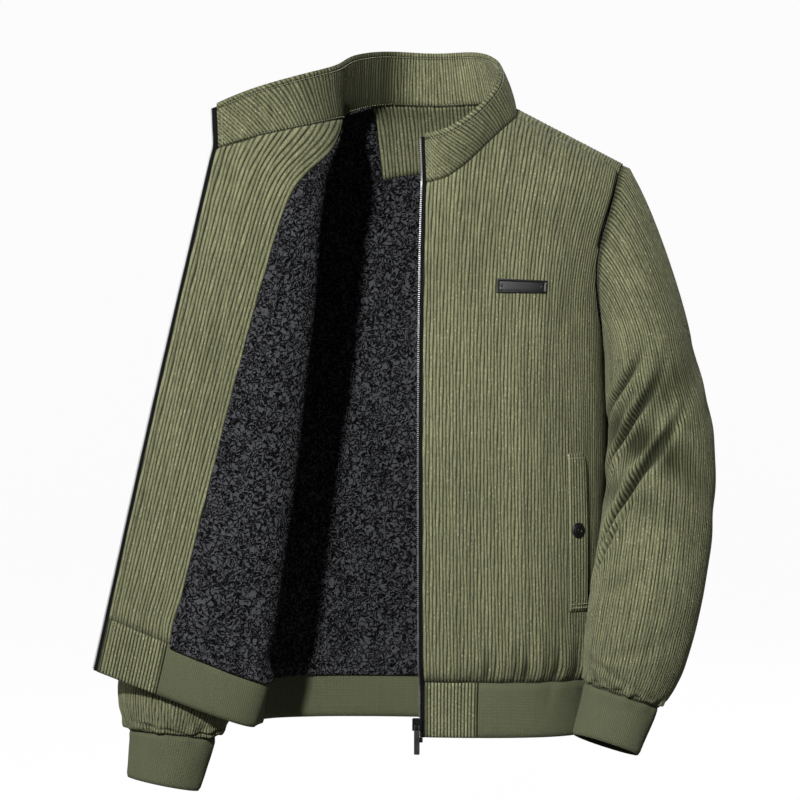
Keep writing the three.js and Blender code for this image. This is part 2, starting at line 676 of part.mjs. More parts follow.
// Stations along the neck edge, from the left zip edge round the back to the right zip edge.
function neckStations() {
  const rows = LAST_ROW;
  const stations = [];
  const front = Array.from({ length: FRONT_FACING_COLUMNS + 1 }, (_, i) => frontColumn(i, rows));
  const halves = [front.map((t) => [t, t, -1]), front.map((t) => [4 - t, t, -1]).reverse()];
  const backShares = BACK_SHARES.filter((t) => Math.abs(t) < NECK_COLUMN - 1e-6);
  const backHalf = backShares.map((t) => [2 + t, Math.abs(t), 1]);
  for (const [s, t, side] of [...halves[0], ...backHalf, ...halves[1]]) {
    const w = clothTop(side < 0 ? t : 2 - t, side);
    stations.push(garment(s, w));
  }
  return stations;
}

// How the collar stands at a share of its length: its lean across and forward for each unit up, its height
const COLLAR_STAND = [
  { share: 0, x: -0.04, y: 0, height: 52 },
  { share: 0.053, x: -0.2, y: -0.3, height: 48 },
  { share: 0.095, x: -0.3, y: -0.55, height: 44 },
  { share: 0.14, x: -0.34, y: -0.7, height: 42 },
  { share: 0.18, x: -0.3, y: -0.7, height: 43 },
  { share: 0.225, x: -0.28, y: -0.45, height: 48 },
  { share: 0.265, x: -0.32, y: -0.15, height: 55 },
  { share: 0.34, x: -0.28, y: 0, height: 57 },
  { share: 0.5, x: 0, y: 0, height: 56 },
  { share: 0.735, x: 0.0, y: 0, height: 60 },
  { share: 0.83, x: -0.1, y: 0, height: 57 },
  { share: 1, x: -0.04, y: 0, height: 49 },
];
const COLLAR_ROWS = [0, 0.33, 0.67, 1];

// Foot, direction, height and outward normal of the collar at each of its stations.
const COLLAR = (() => {
  const neck = neckStations();
  const base = neck.map((station) => station.point);
  const lengths = [0];
  for (let i = 1; i < base.length; i++) lengths.push(lengths[i - 1] + base[i].distanceTo(base[i - 1]));
  const total = lengths[lengths.length - 1];
  return base.map((point, i) => {
    const a = base[Math.max(0, i - 1)];
    const b = base[Math.min(base.length - 1, i + 1)];
    const tangent = b.clone().sub(a).normalize();
    const stand = (column) => tableValue(COLLAR_STAND, "share", column, lengths[i] / total);
    const up = vec(stand("x"), stand("y"), 1).normalize();
    const normal = tangent.cross(up).normalize();
    return { point, up, height: stand("height"), normal, seam: neck[i].normal };
  });
})();

// Its walls leave the neck seam in line with the body's walls.
function collarPoint(i, h, out) {
  const c = COLLAR[i];
  const normal = c.seam.clone().lerp(c.normal, smooth(h / 0.3)).normalize();
  return c.point
    .clone()
    .addScaledVector(c.up, COLLAR_LIFT + h * c.height)
    .addScaledVector(normal, out + 1.5 * Math.sin(Math.PI * h));
}

function collar() {
  const rows = COLLAR_ROWS.length;
  const layer = (from, thick) => (i, j) => [
    collarPoint(i, COLLAR_ROWS[j], from),
    collarPoint(i, COLLAR_ROWS[j], from - thick),
  ];
  add("collar_outer", wall(COLLAR.length, rows, layer(0, COLLAR_WALL)), CORDUROY);
  add("collar_inner", wall(COLLAR.length, rows, layer(-COLLAR_WALL - GAP, COLLAR_WALL)), CORDUROY);
}

// Sleeves

// The armhole's edge on the body cloth, from the armpit up the front, over the shoulder and down the back.
function armholeEdge(right) {
  const edge = [];
  const put = (t, w, back) => {
    const left = back ? 2 - t : t;
    const g = garment(right ? 4 - left : left, w);
    edge.push({ ...g, back });
  };
  for (let i = FRONT_COLUMNS - 1; i > FRONT_ARM_COLUMN; i--) {
    const t = i === FRONT_COLUMNS - 1 ? 1 : frontColumn(i, ARM_ROW);
    put(t, rowHeight(Math.min(t, 1 - 1e-6), ARM_ROW, -1), false);
  }
  for (let j = ARM_ROW; j <= LAST_ROW; j++) put(ARMHOLE_COLUMN, rowHeight(ARMHOLE_COLUMN, j, -1), false);
  for (let j = LAST_ROW - 1; j >= ARM_ROW; j--) put(ARMHOLE_COLUMN, rowHeight(ARMHOLE_COLUMN, j, 1), true);
  for (let k = FRONT_SIDE_COLUMNS - 2; k >= 0; k--) put(BACK_SIDE[k], armholeCurve(BACK_SIDE[k]), true);
  edge.push({ ...edge[0], back: true });
  return edge;
}

const CAP_ROWS = [0, 0.16, 0.36, 0.58, 0.8, 1];
const ARM_STEPS = 12;
const SLEEVE_ROWS = CAP_ROWS.length + ARM_STEPS;

function armAt(table, f) {
  const rows = table.map((row, i) => ({ ...row, f: i / (table.length - 1) }));
  const get = (k, at) => tableValue(rows, "f", k, at);
  const e = 0.01;
  const centre = vec(get("x", f), get("y", f), get("z", f));
  const ahead = vec(get("x", f + e), get("y", f + e), get("z", f + e));
  const behind = vec(get("x", f - e), get("y", f - e), get("z", f - e));
  const along = ahead.sub(behind).normalize();
  return { centre, along, across: get("across", f), deep: get("deep", f) };
}

// Point of an arm ring at an angle: 90 degrees points away from the body, 180 to the front.
function ringPoint(ring, angle, right, out = 0) {
  const away = vec(right ? -1 : 1, 0, 0);
  away.addScaledVector(ring.along, -away.dot(ring.along)).normalize();
  const backward = vec(0, 1, 0);
  backward.addScaledVector(ring.along, -backward.dot(ring.along)).normalize();
  return ring.centre
    .clone()
    .addScaledVector(away, Math.sin(angle) * (ring.across + out))
    .addScaledVector(backward, Math.cos(angle) * (ring.deep + out));
}

// Outward depth of the creases on a sleeve, v = 0 at the armpit and 1 at the cuff.
function sleeveFold(v, angle, left) {
  const turn = (angle * 180) / Math.PI;
  let depth = CUFF_GATHER.depth * smooth((v - CUFF_GATHER.from) / 0.08) * smooth((0.995 - v) / 0.03);
  depth *= Math.sin(CUFF_GATHER.waves * angle);
  if (!left) return depth;
  for (const fold of ELBOW_FOLDS) {
    const round = (((turn - fold.angle + 540) % 360) - 180) / 70;
    depth -= fold.depth * bump(round) * bump((v - fold.along - fold.slant * round) / fold.width);
  }
  return depth;
}

// Outer points of a sleeve: stations round the armhole by rows down the arm.
function sleeveSurface(right) {
  const table = right ? RIGHT_ARM : LEFT_ARM;
  const edge = armholeEdge(right);
  const away = right ? -1 : 1;
  const middle = edge.reduce((sum, e) => sum.add(e.point), vec(0, 0, 0)).multiplyScalar(1 / edge.length);
  const first = armAt(table, 0);
  return edge.map(({ point }, k) => {
    const angle = Math.atan2((point.z - middle.z) / 100, (point.y - middle.y) / 55);
    const wrapped = k === edge.length - 1 ? Math.atan2(-1, 0) : k === 0 ? Math.atan2(-1, 0) : angle;
    const up = (Math.sin(wrapped) + 1) / 2;
    const reachOf = ({ bottom, side, top }) =>
      mix(mix(bottom, side, smooth(up * 2)), top, smooth(up * 2 - 1));
    const leave = reachOf(SLEEVE_LEAVE);
    const arrive = reachOf(SLEEVE_ARRIVE);
    const start = point.clone().add(vec(away * 0.5, 0, 0));
    const outward = vec(away, 0, -0.75 * up * up).normalize();
    outward.y = 0.35 * Math.cos(wrapped) * (1 - up);
    const end = ringPoint(first, wrapped, right);
    const cap = CAP_ROWS.map((f) =>
      bezier(
        start,
        start.clone().addScaledVector(outward, leave / 3),
        end.clone().addScaledVector(first.along, -arrive / 3),
        end,
        f,
      ),
    );
    const arm = Array.from({ length: ARM_STEPS }, (_, j) => {
      const v = (j + 1) / ARM_STEPS;
      return ringPoint(armAt(table, v), wrapped, right, sleeveFold(v, wrapped, !right));
    });
    return { points: [...cap, ...arm], inward: middle.clone().sub(point).setX(0).normalize() };
  });
}

function sleeves() {
  for (const side of ["left", "right"]) {
    const right = side === "right";
    const stations = sleeveSurface(right);
    const last = stations.length - 1;
    // The stations are a closed loop: the first and the last lie at the underarm seam.
    const wrap = (k) => (k < 0 ? last + k : k > last ? k - last : k);
    const innerOf = (k, j) => {
      const p = stations[k].points;
      if (j === 0) return p[0].clone().addScaledVector(stations[k].inward, SHELL);
      const down = p[Math.min(SLEEVE_ROWS - 1, j + 1)].clone().sub(p[j - 1]);
      const round = stations[wrap(k + 1)].points[j].clone().sub(stations[wrap(k - 1)].points[j]);
      const normal = down.cross(round).normalize().multiplyScalar(right ? 1 : -1);
      return p[j].clone().addScaledVector(normal, SHELL);
    };
    const place = (k, j) => [stations[k].points[j].clone(), innerOf(k, j)];
    add("sleeve_" + side, wall(last, SLEEVE_ROWS, place, () => true, true), CORDUROY);
    cuff(side, armAt(right ? RIGHT_ARM : LEFT_ARM, 1), CUFF_END[side]);
  }
}

function cuff(side, end, hand) {
  const axis = end.along.clone().add(vec(hand.turnX, hand.turnY, 0)).normalize();
  const rows = [0, 0.35, 0.7, 1];
  const place = (i, j) => {
    const angle = (i / CUFF.stations) * 2 * Math.PI;
    const f = rows[j];
    const ring = {
      along: end.along.clone().lerp(axis, smooth(f * 2)).normalize(),
      centre: end.centre
        .clone()
        .addScaledVector(end.along, GAP)
        .addScaledVector(end.along.clone().lerp(axis, smooth(f * 2)).normalize(), f * CUFF.length),
      across: mix(end.across, hand.across, f),
      deep: mix(end.deep, hand.deep, f),
    };
    return [ringPoint(ring, angle, side === "right"), ringPoint(ring, angle, side === "right", -CUFF_WALL)];
  };
  add("cuff_" + side, wall(CUFF.stations, rows.length, place, () => true, true), RIB_KNIT);
}

// Zip: a tape and a row of teeth up each front edge and on up the end of the collar

function zipPath(right) {
  const path = [];
  const bodyRows = BODY_ROWS.slice(1);
  const top = clothTop(0, -1);
  for (const w of [HEM, HEM_SEAM, ...bodyRows, -190, -150, top]) {
    const s = right ? 4 : 0;
    const { point, normal } = garment(s, w);
    const inner = garment(right ? 4 - 0.02 : 0.02, w).point;
    path.push({ point, normal, across: inner.sub(point).normalize() });
  }
  const c = COLLAR[right ? COLLAR.length - 1 : 0];
  const next = COLLAR[right ? COLLAR.length - 2 : 1];
  const across = next.point.clone().sub(c.point).normalize();
  const foot = c.point.clone().addScaledVector(across, -ZIP_MARGIN);
  for (const h of [0.2, 0.6, 0.94]) {
    path.push({ point: foot.clone().addScaledVector(c.up, h * c.height), normal: c.normal, across });
  }
  return path;
}

// A bar along a path, from a to b across it and from front to back through it.
function bar(path, a, b, front, back) {
  const place = (i, j) => {
    const { point, normal, across } = path[j];
    const edge = point.clone().addScaledVector(across, i ? b : a);
    return [edge.clone().addScaledVector(normal, front), edge.clone().addScaledVector(normal, back)];
  };
  return wall(2, path.length, place);
}

function zip() {
  for (const side of ["left", "right"]) {
    const path = zipPath(side === "right");
    add("zip_tape_" + side, bar(path, TAPE.from, TAPE.to, TAPE.front, TAPE.back), ZIP_CLOTH);
    const teeth = bar(path, -TEETH.halfWidth, TEETH.halfWidth, TEETH.front, TEETH.back);
    add("zip_teeth_" + side, teeth, ZIP_METAL);
  }
}

// Slider, seated on the left row of teeth, and its pull

const SLIDER = { w: -654, width: 10.5, length: 13, plate: 1.4, clear: 0.7, wedge: 2.6, shift: -2.4 };
const BAIL = { width: 2.2, height: 3.4, length: 6.6, drop: -0.7, hole: 2.4, holeLength: 3.4 };
const PULL = { width: 6, length: 31, thick: 1.5, frame: 1.3, window: 4.2, pin: 1.5, slot: 15 };

const wasm = await Module();
wasm.setup();

function toSolid(geometry) {
  const g = geometry.index ? geometry.toNonIndexed() : geometry;
  const source = g.getAttribute("position").array;
  const index = new Map();
  const vertices = [];
  const triangles = [];
  for (let i = 0; i < source.length; i += 3) {
    const p = [source[i], source[i + 1], source[i + 2]];
    const key = p.map((x) => Math.round(x * 1e4)).join();
    if (!index.has(key)) {
      index.set(key, vertices.length / 3);
      vertices.push(...p);
    }
    triangles.push(index.get(key));
  }
  return new wasm.Manifold(
    new wasm.Mesh({
      numProp: 3,
      vertProperties: new Float32Array(vertices),
      triVerts: new Uint32Array(triangles),
    }),
  );
}

function fromSolid(solid) {
  const mesh = solid.getMesh();
  const geometry = new THREE.BufferGeometry();
  geometry.setAttribute("position", new THREE.BufferAttribute(new Float32Array(mesh.vertProperties), 3));
  geometry.setIndex(new THREE.BufferAttribute(new Uint32Array(mesh.triVerts), 1));
  return geometry;
}

function block(width, depth, height, x, y, z) {
  return toSolid(new THREE.BoxGeometry(width, depth, height).translate(x, y, z));
}

function sliderAndPull() {
  const seat = garment(0, SLIDER.w).point;
  const teethMiddle = (TEETH.front + TEETH.back) / 2;
  const toothHalf = (TEETH.front - TEETH.back) / 2;
  const plateY = toothHalf + SLIDER.clear + SLIDER.plate / 2;
  const middleY = -teethMiddle;
  const frontFace = middleY - plateY - SLIDER.plate / 2;
  let body = block(SLIDER.width, SLIDER.plate, SLIDER.length, SLIDER.shift, middleY - plateY, 0);
  body = body.add(block(SLIDER.width, SLIDER.plate, SLIDER.length, SLIDER.shift, middleY + plateY, 0));
  const wedgeX = -TEETH.halfWidth - SLIDER.clear - SLIDER.wedge / 2;
  body = body.add(block(SLIDER.wedge, 2 * plateY, SLIDER.length * 0.7, wedgeX, middleY, 1));
  const bailY = frontFace - BAIL.height / 2 + 0.2;
  body = body.add(block(BAIL.width, BAIL.height, BAIL.length, SLIDER.shift, bailY, BAIL.drop));
  const pinY = frontFace - BAIL.hole / 2 - 0.1;
  const pinZ = -1.2;
  body = body.subtract(block(BAIL.width + 2, BAIL.hole, BAIL.holeLength, SLIDER.shift, pinY, pinZ));
  add("zip_slider", fromSolid(body), ZIP_METAL).position.copy(seat);

  const outline = new THREE.Shape();
  const half = PULL.width / 2;
  const bottom = -PULL.length;
  outline.moveTo(-half, bottom + 1);
  outline.absarc(-half + 1, bottom + 1, 1, Math.PI, 1.5 * Math.PI);
  outline.absarc(half - 1, bottom + 1, 1, 1.5 * Math.PI, 2 * Math.PI);
  outline.lineTo(half, PULL.pin);
  outline.lineTo(-half, PULL.pin);
  const opening = new THREE.Path();
  const inside = half - PULL.frame;
  opening.moveTo(-inside, -PULL.pin / 2);
  opening.lineTo(inside, -PULL.pin / 2);
  opening.lineTo(inside, -PULL.pin / 2 - PULL.window);
  opening.lineTo(-inside, -PULL.pin / 2 - PULL.window);
  outline.holes.push(opening);
  const plate = new THREE.ExtrudeGeometry(outline, { depth: PULL.thick, bevelEnabled: false });
  plate.rotateX(Math.PI / 2).translate(0, PULL.thick / 2, 0);
  let pull = toSolid(plate);
  const pinBottom = -PULL.pin / 2;
  pull = pull.subtract(block(PULL.width + 2, PULL.thick + 1, 4, 0, 0, -pinBottom + 2));
  const slotZ = -PULL.pin / 2 - PULL.window - 3 - PULL.slot / 2;
  pull = pull.subtract(block(PULL.width * 0.4, 0.8, PULL.slot, 0, -PULL.thick / 2, slotZ));
  const pullMesh = add("zip_pull", fromSolid(pull), ZIP_METAL);
  pullMesh.position.copy(seat).add(vec(SLIDER.shift, pinY, pinZ));

  const box = block(5.6, 3.6, 5, 0.4, middleY, 0);
  add("zip_box", fromSolid(box), BLACK_TRIM).position.copy(garment(0, HEM).point).add(vec(0, 0, -2.9));
}

// Pockets, snaps and badge

function welts() {
  const columns = 5;
  const rows = 9;
  for (const side of ["left", "right"]) {
    const right = side === "right";
    const lift = WELT.lift[side];
    const at = (i, j, out) => {
      const cloth = mix(WELT.from, WELT.to, i / (columns - 1));
      const w = mix(WELT.bottom, WELT.top, j / (rows - 1));
      const s = right ? 4 - cloth / QUARTER : cloth / QUARTER;
      return garment(s, w, out).point;
    };
    const place = (i, j) => [at(i, j, lift + WELT.thick), at(i, j, lift)];
    add("welt_" + side, wall(columns, rows, place), CORDUROY);
    snap(side, lift + WELT.thick + SNAP.lift[side]);
  }
}

function snap(side, lift) {
  const s = side === "right" ? 4 - SNAP.cloth / QUARTER : SNAP.cloth / QUARTER;
  const seat = garment(s, SNAP.w, lift);
  const r = SNAP.radius;
  const profile = [
    [0, 0],
    [r - 1.2, 0],
    [r - 0.2, 0.5],
    [r, SNAP.skirt],
    [r - 0.6, SNAP.skirt + 0.9],
    [r * 0.72, SNAP.height - 0.4],
    [r * 0.35, SNAP.height],
    [0, SNAP.height],
  ].map(([x, y]) => new THREE.Vector2(x, y));
  const cap = new THREE.LatheGeometry(profile, 28);
  const mesh = add("snap_" + side, cap, BLACK_TRIM);
  mesh.quaternion.setFromUnitVectors(vec(0, 1, 0), seat.normal);
  mesh.position.copy(seat.point);
}

function badge() {
  const columns = 9;
  const rows = 5;
  const edge = BADGE.rimWidth;
  const across = [0, edge, edge + 0.4, 0.3, 0.5, 0.7, -edge - 0.4, -edge, 0];
  const xs = across.map((x, i) => {
    if (i === 0) return 0;
    if (i === columns - 1) return BADGE.width;
    return i < 3 ? x : i > 5 ? BADGE.width + x : x * BADGE.width;
  });
  const zs = [0, edge, BADGE.height / 2, BADGE.height - edge, BADGE.height];
  const at = (i, j, out) => {
    const s = (BADGE.cloth - BADGE.width / 2 + xs[i]) / QUARTER;
    return garment(s, BADGE.w - BADGE.height / 2 + zs[j], out).point;
  };
  const place = (i, j) => {
    const onRim = i < 2 || i > columns - 3 || j < 1 || j > rows - 2;
    const height = BADGE.thick + (onRim ? BADGE.rim : 0);
    return [at(i, j, GAP + 0.2 + height), at(i, j, GAP + 0.2)];
  };
  add("badge", wall(columns, rows, place), BLACK_TRIM);
}

fronts();
back();
hem();
collar();
sleeves();
zip();
sliderAndPull();
welts();
badge();

export default jacket;
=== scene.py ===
# %% [markdown]
# # A corduroy zip jacket, dressed in Blender
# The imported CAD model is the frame. It has every panel as a closed thin wall in its true place, but with
# flat faces of 10 to 70 mm. This lesson lays real cloth over those walls: corduroy with its wales as
# geometry, curly fleece, rib knit, a zip made of single teeth, and sewing thread.
# The jacket is shown filled out as if worn, with its right front turned back.

# %% Load the frame
import math

import bmesh
import bpy
import numpy as np
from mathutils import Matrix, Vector


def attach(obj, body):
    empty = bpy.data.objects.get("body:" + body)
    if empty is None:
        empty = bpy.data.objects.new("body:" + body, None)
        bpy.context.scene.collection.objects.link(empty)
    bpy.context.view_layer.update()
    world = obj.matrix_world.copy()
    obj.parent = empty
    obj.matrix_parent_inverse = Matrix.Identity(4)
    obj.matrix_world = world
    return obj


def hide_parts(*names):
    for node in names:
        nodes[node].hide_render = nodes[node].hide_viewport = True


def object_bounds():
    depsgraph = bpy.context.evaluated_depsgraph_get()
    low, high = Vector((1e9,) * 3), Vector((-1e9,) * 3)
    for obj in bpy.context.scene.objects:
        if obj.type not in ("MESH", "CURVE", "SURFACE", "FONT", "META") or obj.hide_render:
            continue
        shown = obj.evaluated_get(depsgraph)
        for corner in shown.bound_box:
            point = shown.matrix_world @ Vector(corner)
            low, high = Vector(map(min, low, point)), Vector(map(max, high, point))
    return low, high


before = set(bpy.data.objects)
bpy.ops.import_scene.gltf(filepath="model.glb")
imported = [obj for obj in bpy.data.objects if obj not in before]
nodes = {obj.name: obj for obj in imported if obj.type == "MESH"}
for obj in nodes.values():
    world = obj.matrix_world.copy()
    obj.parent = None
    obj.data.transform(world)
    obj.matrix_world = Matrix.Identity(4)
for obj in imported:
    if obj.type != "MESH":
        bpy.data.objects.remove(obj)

MM = 0.001
cad_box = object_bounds()
print("CAD box, mm:", [[round(c / MM) for c in corner] for corner in cad_box])

# %% [markdown]
# ## The shape of the body cloth
# A jacket's panels all lie on one surface, so the surface is written once, as a map from cloth to space.
# s runs round the body: 0 at the left zip edge, 1 left side seam, 2 centre back, 3 right side seam, 4 the
# right zip edge. w is the height on the cloth. It equals z up to the chest, then follows the cloth over
# the shoulder. The numbers are the same as the CAD source's, so the cloth lands on the CAD walls.

# %% Sizes of the jacket, in millimetres
SHELL, FACING, LINING = 2.0, 2.0, 3.2
RIB_WALL, CUFF_WALL, GAP = 4.8, 2.6, 0.3
UNDER_SHELL, UNDER_ROLLED_SHELL = SHELL + GAP, SHELL + 2 * GAP
HEM, HEM_SEAM, ARMPIT, ARMHOLE_TOP, SPRING, RIDGE = -668, -608, -240, -117, -190, 60
SECTION_POWER, SECTION_WIDTH, SECTION_DEPTH, QUARTER = 2.7, 190, 115, 256
NECK_HALF, NECK_MIDDLE_Y, NECK_FRONT, NECK_BACK = 98, -30, 58, 88
NECK_CORNER_Z, NECK_RISE, SHOULDER_SLOPE, SHOULDER_TIP = 15, 27, 0.525, 206
ARCH_HEIGHT, ARCH_DEPTH = 205, 100
ARMHOLE_COLUMN, ZIP_MARGIN, FACING_WIDTH, NECK_FACING_HALF, YOKE = 0.795, 5.0, 78, 64, -72
TAB_LEFT, TAB_RIGHT = 66, 75
BODY_PROFILE = {
    "w": [HEM, -640, HEM_SEAM, -590, -540, -430, -330, ARMPIT, -170, -110, -30, RIDGE],
    "half": [183, 184, 187, 193, 193, 191, 190, 190, 193, 200, 214, 222],
    "front": [103, 103.5, 105, 113, 116, 117, 117, 113, 107, 102, 98, 92],
    "back": [96, 97, 99, 106, 106, 100, 102, 112, 113, 108, 98, 92],
}
ROLL_LINE = {
    "w": [HEM, HEM_SEAM, -590, -560, -480, -300, -190, -120, -60, 25],
    "cloth": [190, 192, 191, 187, 179, 160, 143, 127, 109, 86],
    "x": [-192, -177, -179, -173, -160, -136, -124, -118, -111, -98],
    "y": [-62, -64, -64, -64, -66, -68, -72, -76, -70, -34],
    "z": [-665, -612, -589, -560, -479, -298, -188, -115, -60, 7],
}
OPEN_EDGE = {"w": [HEM, -365, -90], "x": [-365, -295, -232], "y": [-90, -97, -98], "z": [-602, -303, -43]}


def scatter(x):
    """A fixed value from 0 to 1 for each number, spread as if by chance."""
    return np.mod(np.sin(x) * 43758.5453, 1)


def mix(a, b, f):
    return a + (b - a) * f


def smooth(f):
    f = np.clip(f, 0, 1)
    return f * f * (3 - 2 * f)


def hill(x):
    return np.exp(-np.asarray(x, float) ** 2)


def table_value(table, key, column, at):
    """Smooth value of a table's column: cubic, with finite-difference slopes, straight past its ends."""
    place, value, at = np.array(table[key], float), np.array(table[column], float), np.asarray(at, float)
    if place[0] > place[-1]:
        place, at = -place, -at
    slope = np.empty_like(value)
    slope[1:-1] = (value[2:] - value[:-2]) / (place[2:] - place[:-2])
    slope[0] = (value[1] - value[0]) / (place[1] - place[0])
    slope[-1] = (value[-1] - value[-2]) / (place[-1] - place[-2])
    i = np.clip(np.searchsorted(place, at) - 1, 0, len(place) - 2)
    h = place[i + 1] - place[i]
    f = np.clip((at - place[i]) / h, 0, 1)
    inside = value[i] * (1 + 2 * f) * (1 - f) ** 2 + value[i + 1] * f * f * (3 - 2 * f)
    inside += slope[i] * h * f * (1 - f) ** 2 + slope[i + 1] * h * f * f * (f - 1)
    return inside + slope[0] * np.minimum(at - place[0], 0) + slope[-1] * np.maximum(at - place[-1], 0)


# %% [markdown]
# The level section is a rounded rectangle, cut into even steps of length, so that a wale keeps its
# width all the way round. Over chest and shoulder blades the cloth arches to the ridge of the shoulders.

# %% Body section, arch and torso
def even_curve(power, a, b, steps):
    """A quarter of a rounded rectangle from (0, b) to (a, 0), as shares of a and b, with its lengths."""
    angle = np.linspace(0, math.pi / 2, steps + 1)
    c, s = np.cos(angle), np.sin(angle)
    r = ((s / a) ** power + (c / b) ** power) ** (-1 / power)
    X, Y = r * s / a, r * c / b
    step = np.hypot(np.diff(X) * a, np.diff(Y) * b)
    return X, Y, np.concatenate([[0], np.cumsum(step)])


SECTION = even_curve(SECTION_POWER, SECTION_WIDTH, SECTION_DEPTH, 400)
ARCH = {
    side: even_curve(power, ARCH_HEIGHT, ARCH_DEPTH, 200) for side, power in (("front", 2.2), ("back", 3.2))
}


def section_share(s):
    turn = np.mod(s, 4)
    folded = np.where(turn > 2, 4 - turn, turn)
    t = np.where(folded > 1, 2 - folded, folded)
    X = np.interp(t * SECTION[2][-1], SECTION[2], SECTION[0])
    Y = np.interp(t * SECTION[2][-1], SECTION[2], SECTION[1])
    return np.where(turn > 2, -X, X), np.where(folded > 1, -Y, Y)


def ridge_height(x):
    out = np.abs(x) - NECK_HALF
    inside = NECK_CORNER_Z + NECK_RISE * (1 - (x / NECK_HALF) ** 2)
    return np.where(out > 0, NECK_CORNER_Z - out * SHOULDER_SLOPE, inside)


def torso(s, w):
    """The closed jacket as it is worn. Past the ridge the cloth of the back lies on the front's side."""
    s, w = np.broadcast_arrays(np.asarray(s, float), np.asarray(w, float))
    X, Y = section_share(s)
    past = w > RIDGE
    level = np.where(past, 2 * RIDGE - w, w)
    front = (Y > 0) != past
    x = X * table_value(BODY_PROFILE, "w", "half", level)
    f = np.clip((level - SPRING) / (RIDGE - SPRING), 0, 1)
    depth, rise = 0.0, 0.0
    for side, here in (("front", front), ("back", ~front)):
        rising, across, length = ARCH[side]
        most = table_value(BODY_PROFILE, "w", side, level)
        depth = depth + here * np.interp(f * length[-1], length, across) * most
        rise = rise + here * np.interp(f * length[-1], length, rising)
    y = np.where(past, Y, -Y) * depth
    z = np.where(w < SPRING, w, SPRING + (ridge_height(x) - SPRING) * rise)
    return np.stack([x, y, z], -1)


# %% [markdown]
# The neck edge and the shoulder seam are curves seen from above. Each column of cloth ends where it
# meets one of them, which is found by halving. The ends are kept in two tables, front and back.

# %% Where each column of cloth ends
def inside_cloth(p, side):
    dy = p[..., 1] - NECK_MIDDLE_Y
    front = dy < 0
    reach = np.where(front, NECK_FRONT, NECK_BACK)
    across = (np.abs(p[..., 0]) / NECK_HALF) ** np.where(front, 2.4, 2.0)
    outside_neck = across + (np.abs(dy) / reach) ** np.where(front, 1.3, 2.0) - 1
    seam_y = mix(-30, -19, (np.abs(p[..., 0]) - NECK_HALF) / (SHOULDER_TIP - NECK_HALF))
    return np.minimum(outside_neck, side * (p[..., 1] - seam_y) / NECK_BACK)


def find_top(t, side):
    column = t if side < 0 else 2 - t
    low, high = np.full(t.shape, float(SPRING)), np.full(t.shape, float(RIDGE if side < 0 else RIDGE + 75))
    for _ in range(40):
        middle = (low + high) / 2
        inside = inside_cloth(torso(column, middle), side) > 0
        low, high = np.where(inside, middle, low), np.where(inside, high, middle)
    return low


TOP_SHARES = np.concatenate(
    [np.linspace(0, 0.31, 500), np.linspace(0.3102, 0.36, 400), np.linspace(0.361, 1, 400)]
)
TOPS = {side: find_top(TOP_SHARES, side) for side in (-1, 1)}


def cloth_top(t, side):
    return np.interp(np.abs(t), TOP_SHARES, TOPS[side])


_corner_x = torso(TOP_SHARES, TOPS[-1])[:, 0]
NECK_COLUMN = float(TOP_SHARES[np.argmax(_corner_x >= NECK_HALF - 0.02)])
print(
    "neck corner at share", round(NECK_COLUMN, 4), "cloth height",
    round(float(cloth_top(NECK_COLUMN, -1)), 1),
)


# %% [markdown]
# ## The front that is turned back
# It leaves the body along a roll line and lies out over the right sleeve, so that facing and fleece
# show. The flap is one smooth curve at each height, from the roll to the zip edge. Cloth is cut even, so
# points are spread by length along that curve. Near the neck the collar pulls its edge to a line.

# %% The open front
def at_columns(table, w):
    return np.stack([table_value(table, "w", k, w) for k in "xyz"], -1)


def settled_at(w):
    return smooth((25 - w) / 115)


def roll_share(w):
    return mix(NECK_COLUMN, table_value(ROLL_LINE, "w", "cloth", w) / QUARTER, settled_at(w))


def roll_point(w):
    return mix(torso(-roll_share(w), w), at_columns(ROLL_LINE, w), settled_at(w)[..., None])


def bezier(p0, p1, p2, p3, f):
    g, f = 1 - np.asarray(f)[..., None], np.asarray(f)[..., None]
    return p0 * g**3 + 3 * p1 * g * g * f + 3 * p2 * g * f * f + p3 * f**3


def on_flap(share_out, w):
    """Point of the turned-back cloth, 0 at the roll and 1 at the zip edge, at one height."""
    roll, edge = roll_point(w), at_columns(OPEN_EDGE, w)
    leaving, arriving = roll + [0, -30, 0], edge - 0.4 * (edge - roll) + [0, -12, 0]
    steps = np.linspace(0, 1, 25)
    line = bezier(
        *(p[..., None, :] for p in (roll, leaving, arriving, edge)), np.broadcast_to(steps, w.shape + (25,))
    )
    length = np.concatenate(
        [np.zeros(w.shape + (1,)), np.cumsum(np.linalg.norm(np.diff(line, axis=-2), axis=-1), -1)], -1
    )
    want = share_out * length[..., -1]
    i = np.clip((length[..., 1:] < want[..., None]).sum(-1), 0, 23)
    before = np.take_along_axis(length, i[..., None], -1)[..., 0]
    after = np.take_along_axis(length, i[..., None] + 1, -1)[..., 0]
    return bezier(roll, leaving, arriving, edge, (i + (want - before) / (after - before)) / 24)


def pulled(t, w):
    top = cloth_top(np.clip(np.abs(t), 0, NECK_COLUMN), -1)
    line = mix(cloth_top(0, -1), cloth_top(NECK_COLUMN, -1), np.clip(t / NECK_COLUMN, 0, 1))
    return np.where(t >= NECK_COLUMN, w, w + 0.85 * (line - top) * smooth((w - top + 170) / 170))


